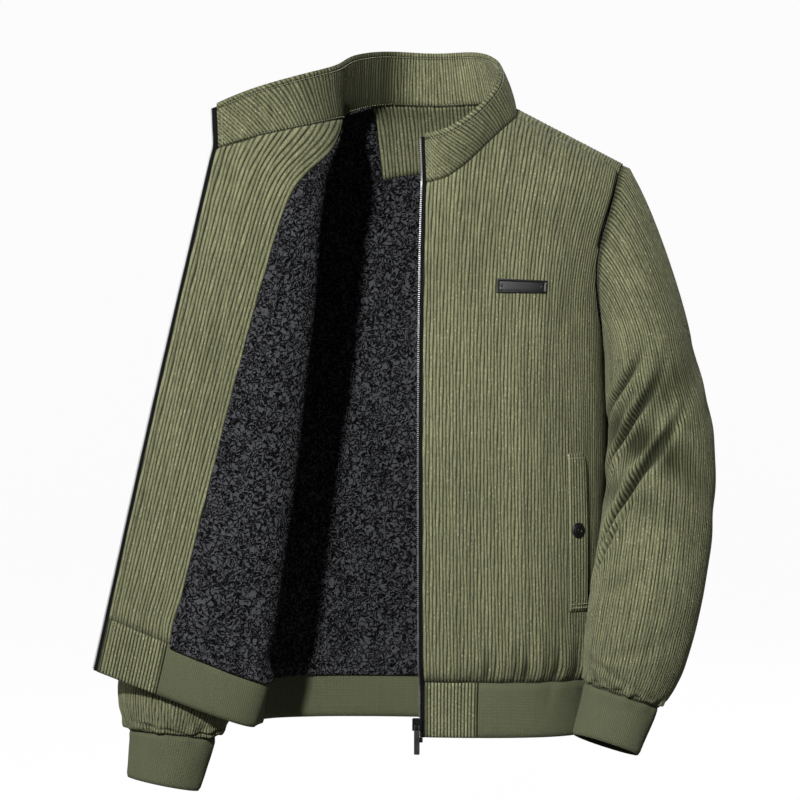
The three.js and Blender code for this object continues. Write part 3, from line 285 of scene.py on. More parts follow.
def open_front(t, given):
    """t = 0 is the zip edge and t = 1 the side seam."""
    w = pulled(t, given)
    share, roll = roll_share(w), roll_point(w)
    flap = on_flap(np.clip((share - t) / share, -0.05, 1.1), w)
    worn = torso(-t, w)
    anchor = mix(ARMHOLE_COLUMN, 1, smooth((ARMPIT + 20 - w) / 60))
    start = torso(-anchor, w)
    reach = np.linalg.norm(start - roll, axis=-1, keepdims=True) * 0.4
    away = torso(-anchor + 0.02, w) - start
    away /= np.linalg.norm(away, axis=-1, keepdims=True)
    along = np.clip((anchor - t) / (anchor - share), 0, 1)
    bridge = bezier(start, start + away * reach, roll + reach * np.array([0, 1, 0]), roll, along)
    bridged = mix(worn, bridge, settled_at(w)[..., None])
    return np.where((t <= share)[..., None], flap, np.where((t >= anchor)[..., None], worn, bridged))


def bare_cloth(s, w):
    s, w = np.broadcast_arrays(np.asarray(s, float), np.asarray(w, float))
    if not (s > 3).any():
        return torso(s, w)
    return np.where((s > 3)[..., None], open_front(np.clip(4 - s, -0.05, 1), w), torso(np.minimum(s, 3), w))


# %% [markdown]
# ## Folds
# Cloth over a body has soft folds. The wide gathers above the rib and the fold by the armhole are the
# CAD's. The others are shallower and belong to the looks: small pleats where the body is drawn onto the
# rib, slow waves, and a few long creases down the front.

# %% Folds of the body cloth
SOFT_CREASES = [
    # cloth mm from the zip, w, half width, half length, depth, slant
    (150, -250, 9, 70, 1.6, 0.25),
    (196, -330, 8, 80, 1.8, -0.05),
    (60, -600, 10, 38, 0.9, 0.1),
    (118, -592, 9, 34, 1.1, -0.12),
    (90, -130, 12, 50, 0.8, 0.3),
    (16, -92, 5, 16, 1.5, -0.5),
    (34, -84, 5, 15, 1.4, -0.6),
    (52, -70, 6, 18, 1.2, -0.7),
    (140, -420, 14, 90, 1.5, 0.12),
    (44, -330, 12, 110, 1.1, 0.05),
    (196, -600, 8, 34, 1.6, 0.15),
    (150, -604, 7, 30, 1.8, 0.2),
]


def gathers(s, w):
    """Small pleats where the body is drawn onto the rib. They fade out about 40 mm above it."""
    cloth = np.minimum(s, 4 - s) * QUARTER
    above = w - HEM_SEAM
    share = smooth((cloth - TAB_LEFT + 4) / 16) * smooth((above + 1) / 5) * hill((above - 6) / 30)
    narrow = 0.8 * np.sin(cloth / 1.9 + 1.4 * np.sin(cloth / 17))
    return share * (narrow + 1.3 * np.sin(cloth / 4.6 + 2 * np.sin(cloth / 31)))


def fold_depth(s, w):
    cloth = np.where(s > 3, (4 - s) * QUARTER, s * QUARTER)
    near = np.minimum(s, 4 - s) * QUARTER
    depth = 2.4 * smooth((near - TAB_LEFT) / 40) * hill((w + 584) / 22) * np.sin(2 * math.pi * cloth / 38)
    depth = depth + gathers(s, w) - np.where(s < 1, 4 * hill((cloth - 178) / 26) * hill((w + 205) / 80), 0)
    depth = depth + 6.5 * hill((s - 1) / 0.2) * hill((w + 350) / 110)
    dragged = 22 * hill((s - 2.86) / np.where(s > 2.86, 0.2, 0.35))
    depth = depth + dragged * hill((w - HEM) / 110)
    for across, up, wide, long, deep, slant in SOFT_CREASES:
        pressed = deep * hill((cloth - across - slant * (w - up)) / wide) * hill((w - up) / long)
        depth = depth - np.where(s < 1, pressed, 0)
    waves = 0.9 * np.sin(s * 9.1 + w * 0.011) * np.sin(w * 0.017 + s * 3.3 + 1.0)
    return depth + waves * smooth((near - 20) / 60) * smooth((-70 - w) / 60)


def normal_of(across, up):
    n = np.cross(across, up)
    return n / np.linalg.norm(n, axis=-1, keepdims=True)


def garment(s, w, out=0.0):
    """A place on the body cloth, moved out along the surface's normal, and that normal."""
    s, w = np.broadcast_arrays(np.asarray(s, float), np.asarray(w, float))
    across = bare_cloth(s + 0.004, w) - bare_cloth(s - 0.004, w)
    up = bare_cloth(s, w + 1) - bare_cloth(s, w - 1)
    n = normal_of(across, up)
    return bare_cloth(s, w) + n * (out + fold_depth(s, w))[..., None], n


# %% [markdown]
# ## One builder for every piece of cloth
# Each piece is a closed thin wall. The face that shows is fine, and the hidden face is coarse, which
# halves the triangles. Along the rim one face joins a coarse edge to the fine points opposite it.
# The builder also lays a UV map for baking, with fine face, hidden face and rim side by side, and a
# second map in metres of cloth, which the knit and the nap use.

# %% Thin wall from a fine and a coarse grid
TRIANGLES, CUTS = {}, {}
# Places on the bake map, as (size, corner), and the rim's strip beside them. The rim's cloth is in metres.
FINE_MAP, HIDDEN_MAP = ((0.78, 0.98), (0.005, 0.01)), ((0.15, 0.98), (0.8, 0.01))
RIM_FROM, RIM_TO, RIM_STEP, RIM_WIDE = 0.965, 0.985, 0.0006, 0.002


def add_object(name, data):
    thing = bpy.data.objects.new(name, data)
    bpy.context.scene.collection.objects.link(thing)
    return thing


def grid_faces(columns, i, j, step_i=1, step_j=1):
    a = j * columns + i
    return np.stack([a, a + step_i, a + step_i + step_j * columns, a + step_j * columns], -1)


def thin_wall(name, fine, coarse, ki, kj, size, cell=None, ring=False, wale=None, inner_material=False):
    """fine is (rows * kj + 1, columns * ki + 1, 3) and coarse (rows + 1, columns + 1, 3). A ring's first
    and last columns are the same place and are joined."""
    rows, columns = coarse.shape[0] - 1, coarse.shape[1] - 1
    fr, fc = fine.shape[0], fine.shape[1]
    cell = np.ones((rows, columns), bool) if cell is None else cell
    points = np.concatenate([fine.reshape(-1, 3), coarse.reshape(-1, 3)])
    start = fr * fc
    fine_cell = np.repeat(np.repeat(cell, kj, 0), ki, 1)
    j, i = np.nonzero(fine_cell)
    front = grid_faces(fc, i, j)
    front_uv = np.stack(
        [np.stack([i + a, j + b], -1) / [fc - 1, fr - 1] for a, b in ((0, 0), (1, 0), (1, 1), (0, 1))], 1
    )
    j, i = np.nonzero(cell)
    back = (grid_faces(columns + 1, i, j) + start)[:, ::-1]
    back_uv = np.stack(
        [np.stack([i + a, j + b], -1) / [columns, rows] for a, b in ((0, 1), (1, 1), (1, 0), (0, 0))], 1
    )
    rim = []

    def open_at(r, c):
        if ring:
            c %= columns
        return not (0 <= r < rows and 0 <= c < columns and cell[r, c])

    for r, c in zip(j, i):
        f0, c0 = r * kj * fc + c * ki, start + r * (columns + 1) + c
        if open_at(r - 1, c):
            rim.append([*range(f0, f0 + ki + 1)][::-1] + [c0, c0 + 1])
        if open_at(r + 1, c):
            top, ctop = f0 + kj * fc, c0 + columns + 1
            rim.append([*range(top, top + ki + 1)] + [ctop + 1, ctop])
        if open_at(r, c - 1):
            rim.append([f0 + k * fc for k in range(kj + 1)] + [c0 + columns + 1, c0])
        if open_at(r, c + 1):
            side = f0 + ki
            rim.append([side + k * fc for k in range(kj + 1)][::-1] + [c0 + 1, c0 + columns + 2])
    m = np.cross(fine[1:, :-1] - fine[:-1, :-1], fine[:-1, 1:] - fine[:-1, :-1])[::kj, ::ki]
    flip = float((m * (fine[::kj, ::ki] - coarse)[:-1, :-1] * cell[..., None]).sum()) > 0
    faces = front.tolist() + back.tolist() + rim
    uv = [
        corner.reshape(-1, 2) * wide + low for corner, (wide, low) in (
            (front_uv, FINE_MAP), (back_uv, HIDDEN_MAP)
        )
    ]
    metres = [
        corner.reshape(-1, 2) * (float(size[0]) * MM, float(size[1]) * MM) for corner in (front_uv, back_uv)
    ]
    strip, along = [], []
    for k, face in enumerate(rim):
        low, high, m = k / len(rim), (k + 0.9) / len(rim), len(face) - 2
        strip += [(RIM_FROM, 0.01 + 0.98 * mix(low, high, q / (m - 1))) for q in range(m)]
        strip += [(RIM_TO, 0.01 + 0.98 * high), (RIM_TO, 0.01 + 0.98 * low)]
        along += [(q * RIM_STEP, 0) for q in range(m)] + [(m * RIM_STEP, RIM_WIDE), (0, RIM_WIDE)]
    uv, metres = np.concatenate(uv + [np.array(strip)]), np.concatenate(metres + [np.array(along)])
    index = np.arange(len(points))
    if ring:
        index[np.arange(fr) * fc + fc - 1] = np.arange(fr) * fc
        row_start = start + np.arange(rows + 1) * (columns + 1)
        index[row_start + columns] = row_start
    used = np.zeros(len(points), bool)
    corners = [np.array(f) for f in (front.ravel(), back.ravel(), [v for f in rim for v in f])]
    used[index[np.concatenate(corners).astype(int)]] = True
    place = np.cumsum(used) - 1
    faces = [[int(place[index[v]]) for v in f] for f in faces]
    if flip:
        faces = [f[::-1] for f in faces]
        sizes = np.array([len(f) for f in faces])
        ends = np.cumsum(sizes)
        order = np.concatenate([np.arange(e - 1, e - n - 1, -1) for e, n in zip(ends, sizes)])
        uv, metres = uv[order], metres[order]
    mesh = bpy.data.meshes.new(name)
    mesh.from_pydata((points[used] * MM).tolist(), [], faces)
    for map_name, values in (("OFBake", uv), ("Cloth", metres)):
        mesh.uv_layers.new(name=map_name).data.foreach_set("uv", np.asarray(values, np.float32).ravel())
    # The wale attribute holds the ridge profile, with the painted shade of folds and seams multiplied into
    # it.
    if wale is not None:
        ridge = np.concatenate([wale.ravel(), np.full(coarse.shape[0] * coarse.shape[1], 0.6)])[used]
        mesh.attributes.new("wale", "FLOAT", "POINT").data.foreach_set("value", ridge.astype(np.float32))
    flat_faces = np.zeros(len(faces), bool)
    flat_faces[len(front) + len(back):] = True
    mesh.polygons.foreach_set("use_smooth", ~flat_faces)
    if inner_material:
        which = np.zeros(len(faces), np.int32)
        which[len(front): len(front) + len(back)] = 1
        mesh.polygons.foreach_set("material_index", which)
    mesh.validate()
    mesh.update()
    piece = add_object(name, mesh)
    TRIANGLES[name] = 2 * len(front) + 2 * len(back) + sum(len(f) - 2 for f in rim)
    return piece


def dress(piece, material, node, size=None, area=None, held="hung", rests_on="back", slot="corduroy"):
    """Gives a piece its material, its place on the root body and its cut, and hides the CAD node that it
    stands for.
    """
    for m in material if isinstance(material, (list, tuple)) else [material]:
        piece.data.materials.append(m)
    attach(piece, "jacket")
    if node:
        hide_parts(node)
    if size is not None:
        width, length = float(size[0]) * MM, float(size[1]) * MM
        area = min(float(area) * MM * MM, width * length)
        CUTS[piece.name] = (round(width, 3), round(length, 3), round(area, 4))
    return piece


def cut_of(grid, cell=None):
    """Greatest width and length of a cut piece, and its area, from its bare grid in millimetres."""
    across = np.linalg.norm(np.diff(grid, axis=1), axis=-1)
    up = np.linalg.norm(np.diff(grid, axis=0), axis=-1)
    n = np.cross(grid[1:, :-1] - grid[:-1, :-1], grid[:-1, 1:] - grid[:-1, :-1])
    size = np.linalg.norm(n, axis=-1)
    if cell is not None:
        size = size * cell
        across, up = across[:-1] * cell, up[:, :-1] * cell
    return (across.sum(1).max(), up.sum(0).max()), size.sum()


def sew(name, material, node, grids, ki, kj, cell=None, ring=False, wale=None, **keys):
    """Makes a piece from its fine, hidden and bare grids. A second material is for the hidden face."""
    fine, coarse, bare = grids
    size, area = cut_of(bare, cell)
    piece = thin_wall(name, fine, coarse, ki, kj, size, cell, ring, wale, isinstance(material, list))
    return dress(piece, material, node, size, area, **keys)


# %% [markdown]
# ## Wales
# Corduroy is cut pile: round ridges with narrow grooves between. A ridge is a flattened half circle,
# with a few points across it, and its grooves lie on the coarse columns. Where a seam is sewn the pile
# is pressed down, so the ridges sink beside every edge.

# %% Wale profile and seams
WALE_HEIGHT, WALE_PITCH, WALE_MIDDLE = 1.25, 3.7, 0.55


def wale_profile(phase, along=None):
    """0 in the groove and 1 on the ridge, for a phase in wales. A wale wanders a little on its way."""
    if along is not None:
        phase = phase + 0.09 * np.sin(along / 21 + phase * 0.9) + 0.08 * np.sin(along / 8.3 + phase * 2.3)
    x = 2 * np.mod(phase, 1) - 1
    own = 1 - 0.12 * scatter(np.floor(phase) * 12.9898)
    return own * np.sqrt(np.clip(1 - np.abs(x) ** 1.7, 0, 1))


def painted_shade(depth, full):
    """Painted shade: a factor that darkens the wale's tone where a fold, crease, seam or groove holds
    shade.
    """
    return 1 - 0.5 * np.clip(np.asarray(depth) / full, 0, 1)


def seam_press(distance, reach=2.6, depth=1.0):
    return -depth * hill(np.asarray(distance) / reach)


# %% [markdown]
# ## Finishes
# Effects that several finishes share are node groups with named sockets. "Pile fleck" gives the small
# light and dark hairs of cut pile, "Dye tone" the slow change of colour over a garment, and "Knit grain"
# the stitches of rib. They put out only masks, values and heights. Each material keeps its own shader.

# %% Helpers for node trees
def scaled(colour, by, plus=0.0):
    return tuple(min(1, c * by + plus) for c in colour)


def new_group(name, inputs, outputs):
    group = bpy.data.node_groups.new(name, "ShaderNodeTree")
    for title, kind, value in inputs:
        socket = group.interface.new_socket(title, in_out="INPUT", socket_type=kind)
        if value is not None:
            socket.default_value = value
    for title, kind in outputs:
        group.interface.new_socket(title, in_out="OUTPUT", socket_type=kind)
    return group, group.nodes.new("NodeGroupInput"), group.nodes.new("NodeGroupOutput")


def math_node(tree, operation, a, b=None, clamp=False):
    node = tree.nodes.new("ShaderNodeMath")
    node.operation, node.use_clamp = operation, clamp
    for k, value in enumerate((a, b)):
        if value is None:
            continue
        if isinstance(value, (int, float)):
            node.inputs[k].default_value = value
        else:
            tree.links.new(value, node.inputs[k])
    return node.outputs[0]


def product(tree, a, b):
    return math_node(tree, "MULTIPLY", a, b)


def noise_node(tree, vector, scale, detail=2.0, rough=0.5, distortion=0.0):
    node = tree.nodes.new("ShaderNodeTexNoise")
    node.inputs["Scale"].default_value = scale
    node.inputs["Detail"].default_value = detail
    node.inputs["Roughness"].default_value = rough
    node.inputs["Distortion"].default_value = distortion
    tree.links.new(vector, node.inputs["Vector"])
    return node.outputs["Fac"]


def range_node(tree, value, low, high, to_low=0.0, to_high=1.0):
    node = tree.nodes.new("ShaderNodeMapRange")
    for k, v in ((1, low), (2, high), (3, to_low), (4, to_high)):
        node.inputs[k].default_value = v
    tree.links.new(value, node.inputs[0])
    return node.outputs[0]


def colour_mix(tree, factor, a, b, blend="MIX"):
    node = tree.nodes.new("ShaderNodeMix")
    node.data_type, node.blend_type = "RGBA", blend
    for socket, value in ((node.inputs[0], factor), (node.inputs[6], a), (node.inputs[7], b)):
        if isinstance(value, (int, float)):
            socket.default_value = value
        elif isinstance(value, tuple):
            socket.default_value = (*value, 1)
        else:
            tree.links.new(value, socket)
    return node.outputs[2]


def scaled_vector(tree, vector, scale):
    node = tree.nodes.new("ShaderNodeMapping")
    node.inputs["Scale"].default_value = scale
    tree.links.new(vector, node.inputs["Vector"])
    return node.outputs[0]


def make_pile_fleck():
    group, enter, leave = new_group(
        "Pile fleck",
        [("Vector", "NodeSocketVector", None), ("Cloth", "NodeSocketVector", None)],
        [
            ("Light hairs", "NodeSocketFloat"), ("Dark hairs", "NodeSocketFloat"),
            ("Height", "NodeSocketFloat"),
        ],
    )
    hairs = noise_node(group, scaled_vector(group, enter.outputs["Cloth"], (900, 330, 1)), 1.0, 2.0, 0.6)
    specks = noise_node(group, enter.outputs["Vector"], 700, 1.0, 0.5)
    fine = noise_node(group, enter.outputs["Vector"], 2100, 2.0, 0.6)
    light = product(group, range_node(group, hairs, 0.56, 0.7), range_node(group, specks, 0.5, 0.66))
    group.links.new(light, leave.inputs["Light hairs"])
    group.links.new(range_node(group, hairs, 0.47, 0.3), leave.inputs["Dark hairs"])
    height = math_node(group, "ADD", product(group, hairs, 0.6), product(group, fine, 0.5))
    group.links.new(height, leave.inputs["Height"])
    return group


def make_dye_tone():
    group, enter, leave = new_group(
        "Dye tone",
        [("Vector", "NodeSocketVector", None)],
        [("Tone", "NodeSocketFloat"), ("Rubbed", "NodeSocketFloat")],
    )
    slow = noise_node(group, enter.outputs["Vector"], 7, 3.0, 0.55)
    streak = noise_node(group, scaled_vector(group, enter.outputs["Vector"], (170, 170, 14)), 1.0, 2.0, 0.6)
    short = noise_node(group, scaled_vector(group, enter.outputs["Vector"], (420, 420, 80)), 1.0, 1.0, 0.5)
    tone = math_node(group, "ADD", product(group, slow, 0.3), product(group, streak, 0.35))
    tone = math_node(group, "ADD", tone, product(group, short, 0.35))
    group.links.new(range_node(group, tone, 0.36, 0.64), leave.inputs["Tone"])
    patch = noise_node(group, enter.outputs["Vector"], 26, 4.0, 0.6)
    group.links.new(range_node(group, patch, 0.56, 0.72), leave.inputs["Rubbed"])
    return group


def make_knit_grain():
    group, enter, leave = new_group(
        "Knit grain",
        [("Cloth", "NodeSocketVector", None), ("Vector", "NodeSocketVector", None)],
        [("Stitch", "NodeSocketFloat"), ("Height", "NodeSocketFloat")],
    )
    loops = group.nodes.new("ShaderNodeTexWave")
    loops.wave_type, loops.bands_direction = "BANDS", "Y"
    loops.inputs["Scale"].default_value = 190
    loops.inputs["Distortion"].default_value = 1.2
    loops.inputs["Detail"].default_value = 1.0
    loops.inputs["Detail Scale"].default_value = 2.0
    group.links.new(enter.outputs["Cloth"], loops.inputs["Vector"])
    yarn = noise_node(group, scaled_vector(group, enter.outputs["Cloth"], (1500, 800, 1)), 1.0, 1.0, 0.5)
    fuzz = noise_node(group, enter.outputs["Vector"], 1300, 2.0, 0.6)
    stitch = product(group, loops.outputs["Fac"], range_node(group, yarn, 0.3, 0.7, 0.4, 1.0))
    group.links.new(stitch, leave.inputs["Stitch"])
    height = math_node(group, "ADD", stitch, product(group, fuzz, 0.6))
    group.links.new(height, leave.inputs["Height"])
    return group


PILE_FLECK, DYE_TONE, KNIT_GRAIN = make_pile_fleck(), make_dye_tone(), make_knit_grain()
print("shared effects:", [g.name for g in (PILE_FLECK, DYE_TONE, KNIT_GRAIN)])


# %% [markdown]
# ## Corduroy
# The grooves are dark, from the cloth's base and from painted shade; the ridges are light, lighter where
# the pile is rubbed. Cut pile scatters light at glancing angles, so the shader has sheen and almost no
# gloss.

# %% Corduroy, rib, fleece, lining, metal and trim
def begin_material(
    name, roughness, sheen=0.0, specular=0.3, metallic=0.0, sheen_roughness=0.5, sheen_tint=(1, 1, 1)
):
    material = bpy.data.materials.new(name)
    material.use_nodes = True
    tree = material.node_tree
    tree.nodes.clear()
    out = tree.nodes.new("ShaderNodeOutputMaterial")
    shader = tree.nodes.new("ShaderNodeBsdfPrincipled")
    tree.links.new(shader.outputs[0], out.inputs["Surface"])
    shader.inputs["Roughness"].default_value = roughness
    shader.inputs["Sheen Weight"].default_value = sheen
    shader.inputs["Sheen Roughness"].default_value = sheen_roughness
    shader.inputs["Sheen Tint"].default_value = (*sheen_tint, 1)
    shader.inputs["Specular IOR Level"].default_value = specular
    shader.inputs["Metallic"].default_value = metallic
    place = tree.nodes.new("ShaderNodeTexCoord").outputs["Object"]
    cloth = tree.nodes.new("ShaderNodeUVMap")
    cloth.uv_map = "Cloth"
    return material, tree, shader, place, cloth.outputs[0]


def use_group(tree, group, **links):
    node = tree.nodes.new("ShaderNodeGroup")
    node.node_tree = group
    for title, value in links.items():
        tree.links.new(value, node.inputs[title])
    return node


def add_bump(tree, shader, height, distance, strength=1.0):
    bump = tree.nodes.new("ShaderNodeBump")
    bump.inputs["Distance"].default_value = distance
    bump.inputs["Strength"].default_value = strength
    tree.links.new(height, bump.inputs["Height"])
    tree.links.new(bump.outputs[0], shader.inputs["Normal"])


RIDGE_GREEN = (0.262, 0.268, 0.150)
# The groove colour: the cloth's dark base with painted shade in the grooves. The painted shade of folds and
# seams goes toward it too.
SHADED_GROOVE_GREEN = (0.013, 0.015, 0.006)
LIGHT_HAIR = (0.66, 0.66, 0.47)


def make_corduroy(name, ridge, groove):
    material, tree, shader, place, cloth = begin_material(
        name, 0.92, sheen=0.1, specular=0.1, sheen_tint=(0.85, 0.86, 0.65)
    )
    wale = tree.nodes.new("ShaderNodeAttribute")
    wale.attribute_name = "wale"
    fleck = use_group(tree, PILE_FLECK, Vector=place, Cloth=cloth)
    tone = use_group(tree, DYE_TONE, Vector=place)
    dark_ridge = scaled(ridge, 0.58)
    body = colour_mix(tree, tone.outputs["Tone"], dark_ridge, ridge)
    body = colour_mix(tree, product(tree, tone.outputs["Rubbed"], 0.35), body, scaled(ridge, 1.35))
    body = colour_mix(tree, product(tree, fleck.outputs["Dark hairs"], 0.6), body, groove)
    # The wale attribute mixes toward the groove colour: painted shade in the grooves, and in the folds and
    # seams where it was lowered.
    body = colour_mix(tree, range_node(tree, wale.outputs["Fac"], 0.35, 1.0), groove, body)
    on_ridge = range_node(tree, wale.outputs["Fac"], 0.5, 0.9)
    light = product(tree, fleck.outputs["Light hairs"], on_ridge)
    body = colour_mix(tree, light, body, LIGHT_HAIR)
    tree.links.new(body, shader.inputs["Base Color"])
    add_bump(tree, shader, fleck.outputs["Height"], 0.0011, 0.9)
    return material


def make_rib(name, colour):
    material, tree, shader, place, cloth = begin_material(
        name, 0.9, sheen=0.08, specular=0.12, sheen_tint=(0.85, 0.86, 0.65)
    )
    knit = use_group(tree, KNIT_GRAIN, Vector=place, Cloth=cloth)
    tone = use_group(tree, DYE_TONE, Vector=place)
    wale = tree.nodes.new("ShaderNodeAttribute")
    wale.attribute_name = "wale"
    body = colour_mix(tree, tone.outputs["Tone"], scaled(colour, 0.85), colour)
    body = colour_mix(tree, product(tree, knit.outputs["Stitch"], 0.35), body, scaled(colour, 1.5))
    # Painted shade: the sunken columns between the ribs are darker.
    body = colour_mix(
        tree, range_node(tree, wale.outputs["Fac"], 0.0, 0.8, 0.5, 0.0), body, scaled(colour, 0.4)
    )
    tree.links.new(body, shader.inputs["Base Color"])
    add_bump(tree, shader, knit.outputs["Height"], 0.0004, 0.8)
    return material


def make_fleece(name, curl, crease):
    """Curly pile: rounded curls, bent by noise, with near-black cracks between them: the dark base with
    painted shade.
    """
    material, tree, shader, place, _ = begin_material(
        name, 0.9, sheen=0.02, specular=0.05, sheen_tint=(0.7, 0.72, 0.78)
    )
    bend = tree.nodes.new("ShaderNodeTexNoise")
    bend.inputs["Scale"].default_value = 75
    bend.inputs["Detail"].default_value = 2
    tree.links.new(place, bend.inputs["Vector"])
    moved = tree.nodes.new("ShaderNodeVectorMath")
    moved.operation = "MULTIPLY_ADD"
    tree.links.new(bend.outputs["Color"], moved.inputs[0])
    moved.inputs[1].default_value = (0.012, 0.012, 0.012)
    tree.links.new(place, moved.inputs[2])
    cells = tree.nodes.new("ShaderNodeTexVoronoi")
    cells.feature = "DISTANCE_TO_EDGE"
    cells.inputs["Scale"].default_value = 115
    tree.links.new(moved.outputs[0], cells.inputs["Vector"])
    worm = noise_node(tree, moved.outputs[0], 175, 0.0, 0.4, 0.5)
    band = math_node(tree, "ABSOLUTE", math_node(tree, "SINE", product(tree, worm, 9.5)))
    cell = range_node(tree, cells.outputs["Distance"], 0.01, 0.06)
    crack = product(tree, range_node(tree, band, 0.18, 0.8), cell)
    hair = noise_node(tree, place, 1100, 3.0, 0.65, 0.6)
    tone = noise_node(tree, place, 45, 3.0, 0.6)
    body = colour_mix(tree, range_node(tree, tone, 0.35, 0.65), scaled(curl, 0.78), curl)
    body = colour_mix(tree, range_node(tree, hair, 0.5, 0.75, 0.0, 0.35), body, scaled(curl, 2))
    # The cracks take the near-black crease colour: the dark base between the curls with painted shade.
    body = colour_mix(tree, crack, crease, body)
    tree.links.new(body, shader.inputs["Base Color"])
    height = math_node(tree, "ADD", math_node(tree, "POWER", crack, 0.6), product(tree, hair, 0.2))
    add_bump(tree, shader, height, 0.004, 1.0)
    return material


def make_plain(name, colour, roughness, weave=0.0003, scale=900, **settings):
    """A plain finish with fine grain: dark lining, tape, thread, moulded trim."""
    material, tree, shader, place, _ = begin_material(name, roughness, **settings)
    grain = noise_node(tree, place, scale, 3.0, 0.6)
    slow = noise_node(tree, place, 60, 3.0, 0.6)
    body = colour_mix(tree, range_node(tree, slow, 0.35, 0.65), scaled(colour, 0.75), colour)
    body = colour_mix(tree, range_node(tree, grain, 0.5, 0.8, 0.0, 0.5), body, scaled(colour, 1.8, 0.004))
    tree.links.new(body, shader.inputs["Base Color"])
    rough = range_node(tree, slow, 0.3, 0.7, max(0.0, roughness - 0.1), min(1.0, roughness + 0.1))
    tree.links.new(rough, shader.inputs["Roughness"])
    add_bump(tree, shader, grain, weave, 0.7)
    return material


CORDUROY = make_corduroy("Corduroy", RIDGE_GREEN, SHADED_GROOVE_GREEN)
RIB = make_rib("Rib knit", (0.094, 0.101, 0.057))
# A darker copy of the rib knit: painted shade on the inside of the cuffs.
SHADED_RIB_INSIDE = make_rib("Rib knit, painted shade inside the cuffs", (0.03, 0.033, 0.018))
# The second colour is the cracks': the dark base with painted shade.
FLEECE = make_fleece("Curly fleece", (0.059, 0.060, 0.065), (0.0008, 0.0008, 0.0010))
DARK_LINING = make_plain("Dark lining", (0.018, 0.018, 0.021), 0.75)
ZIP_TAPE = make_plain("Zip tape", (0.004, 0.004, 0.004), 0.85, scale=1400, specular=0.08)
ZIP_METAL = make_plain(
    "Zip metal", (0.27, 0.27, 0.275), 0.45, weave=0.00006, scale=500, metallic=0.8, specular=0.4
)
SLIDER_METAL = make_plain(
    "Slider metal", (0.022, 0.022, 0.024), 0.24, weave=0.00004, scale=300, metallic=0.8
)
# A lighter copy of the slider's black metal for the pull's face: a painted highlight down its middle. The
# pull's rounded rims keep the slider's metal.
PULL_FACE_HIGHLIGHT_METAL = make_plain(
    "Pull tab's face, painted highlight", (0.055, 0.055, 0.058), 0.35, weave=0.00004, scale=300, metallic=0.6
)
MOULDED = make_plain(
    "Moulded black trim", (0.0035, 0.0035, 0.004), 0.4, weave=0.00008, scale=700, specular=0.4
)
THREAD = make_plain("Sewing thread", (0.34, 0.34, 0.22), 0.8, scale=2500, sheen=0.2)
print("materials:", len(bpy.data.materials))


# %% [markdown]
# ## Rows and columns of the body panels
# Columns of a panel are its wales, so they run at an even distance in the cloth. Rows are about 9 mm
# apart. Both stop at the armhole, whose lower curve belongs to the columns next to the side seam.

# %% Rows of the body
SEAM_SHARE = GAP / 2 / QUARTER
BODY_ROWS = np.array([HEM_SEAM + GAP / 2, -590, -560, -510, -440, -370, -300, ARMPIT])
ROW_PARTS = [2, 4, 6, 8, 8, 8, 7, 5, 5, 5, 4, 4, 4, 4, 4, 4]
ROWS = np.concatenate([[0], np.cumsum(np.repeat(1 / np.array(ROW_PARTS), ROW_PARTS))])
ARM_ROW, LAST_ROW = 10, 16
FINE_ARM_ROW = int(np.argmin(abs(ROWS - ARM_ROW)))


def armhole_curve(t):
    f = np.clip((1 - t) / (1 - ARMHOLE_COLUMN), 0, 1)
    return ARMHOLE_TOP - (ARMHOLE_TOP - ARMPIT) * np.sqrt(1 - f * f)


def armhole_distance(t, w):
    """How far a place on the cloth lies from the armhole's seam, in millimetres."""
    curve = np.where(t > ARMHOLE_COLUMN, armhole_curve(t), ARMHOLE_TOP)
    return np.hypot(np.maximum(0, (ARMHOLE_COLUMN - t) * QUARTER), np.maximum(0, curve - w))


def row_height(t, j, side):
    """Height on the cloth of row j, in the CAD's rows, where t runs from the centre to the side seam."""
    t, j = np.broadcast_arrays(np.asarray(t, float), np.asarray(j, float))
    body = np.interp(j, np.arange(8), BODY_ROWS)
    top = np.where(t > ARMHOLE_COLUMN, armhole_curve(t), mix(-150, ARMHOLE_TOP, t / ARMHOLE_COLUMN))
    end = cloth_top(t, side) - GAP / 2
    f = (j - ARM_ROW) / 6
    yoke = mix(top, end, f) if side < 0 else np.where(
        f <= 1 / 3, mix(top, YOKE, f * 3), mix(YOKE, end, (f - 1 / 3) * 1.5)
    )
    return np.where(j <= 7, body, np.where(j <= ARM_ROW, mix(ARMPIT, top, (j - 7) / 3), yoke))


def facing_share(j):
    return mix(FACING_WIDTH / QUARTER, NECK_COLUMN, smooth(j / LAST_ROW / 0.62))


def fine_steps(edges, parts):
    """Each stretch between two edges, cut into that many parts."""
    out = [np.array([edges[0]])]
    for a, b, n in zip(edges, edges[1:], parts):
        out.append(a + (b - a) * np.arange(1, n + 1) / n)
    return np.concatenate(out)


def side_press(shares, edges):
    """How far seams at these shares press the cloth in."""
    return sum(seam_press((shares - e) * QUARTER) for e in edges)


# %% [markdown]
# ## Fronts
# Each front is one panel of corduroy from the zip to the side seam. Under the right one, which is
# turned back, wales on the outside face away from the camera, but they show from the side and behind.

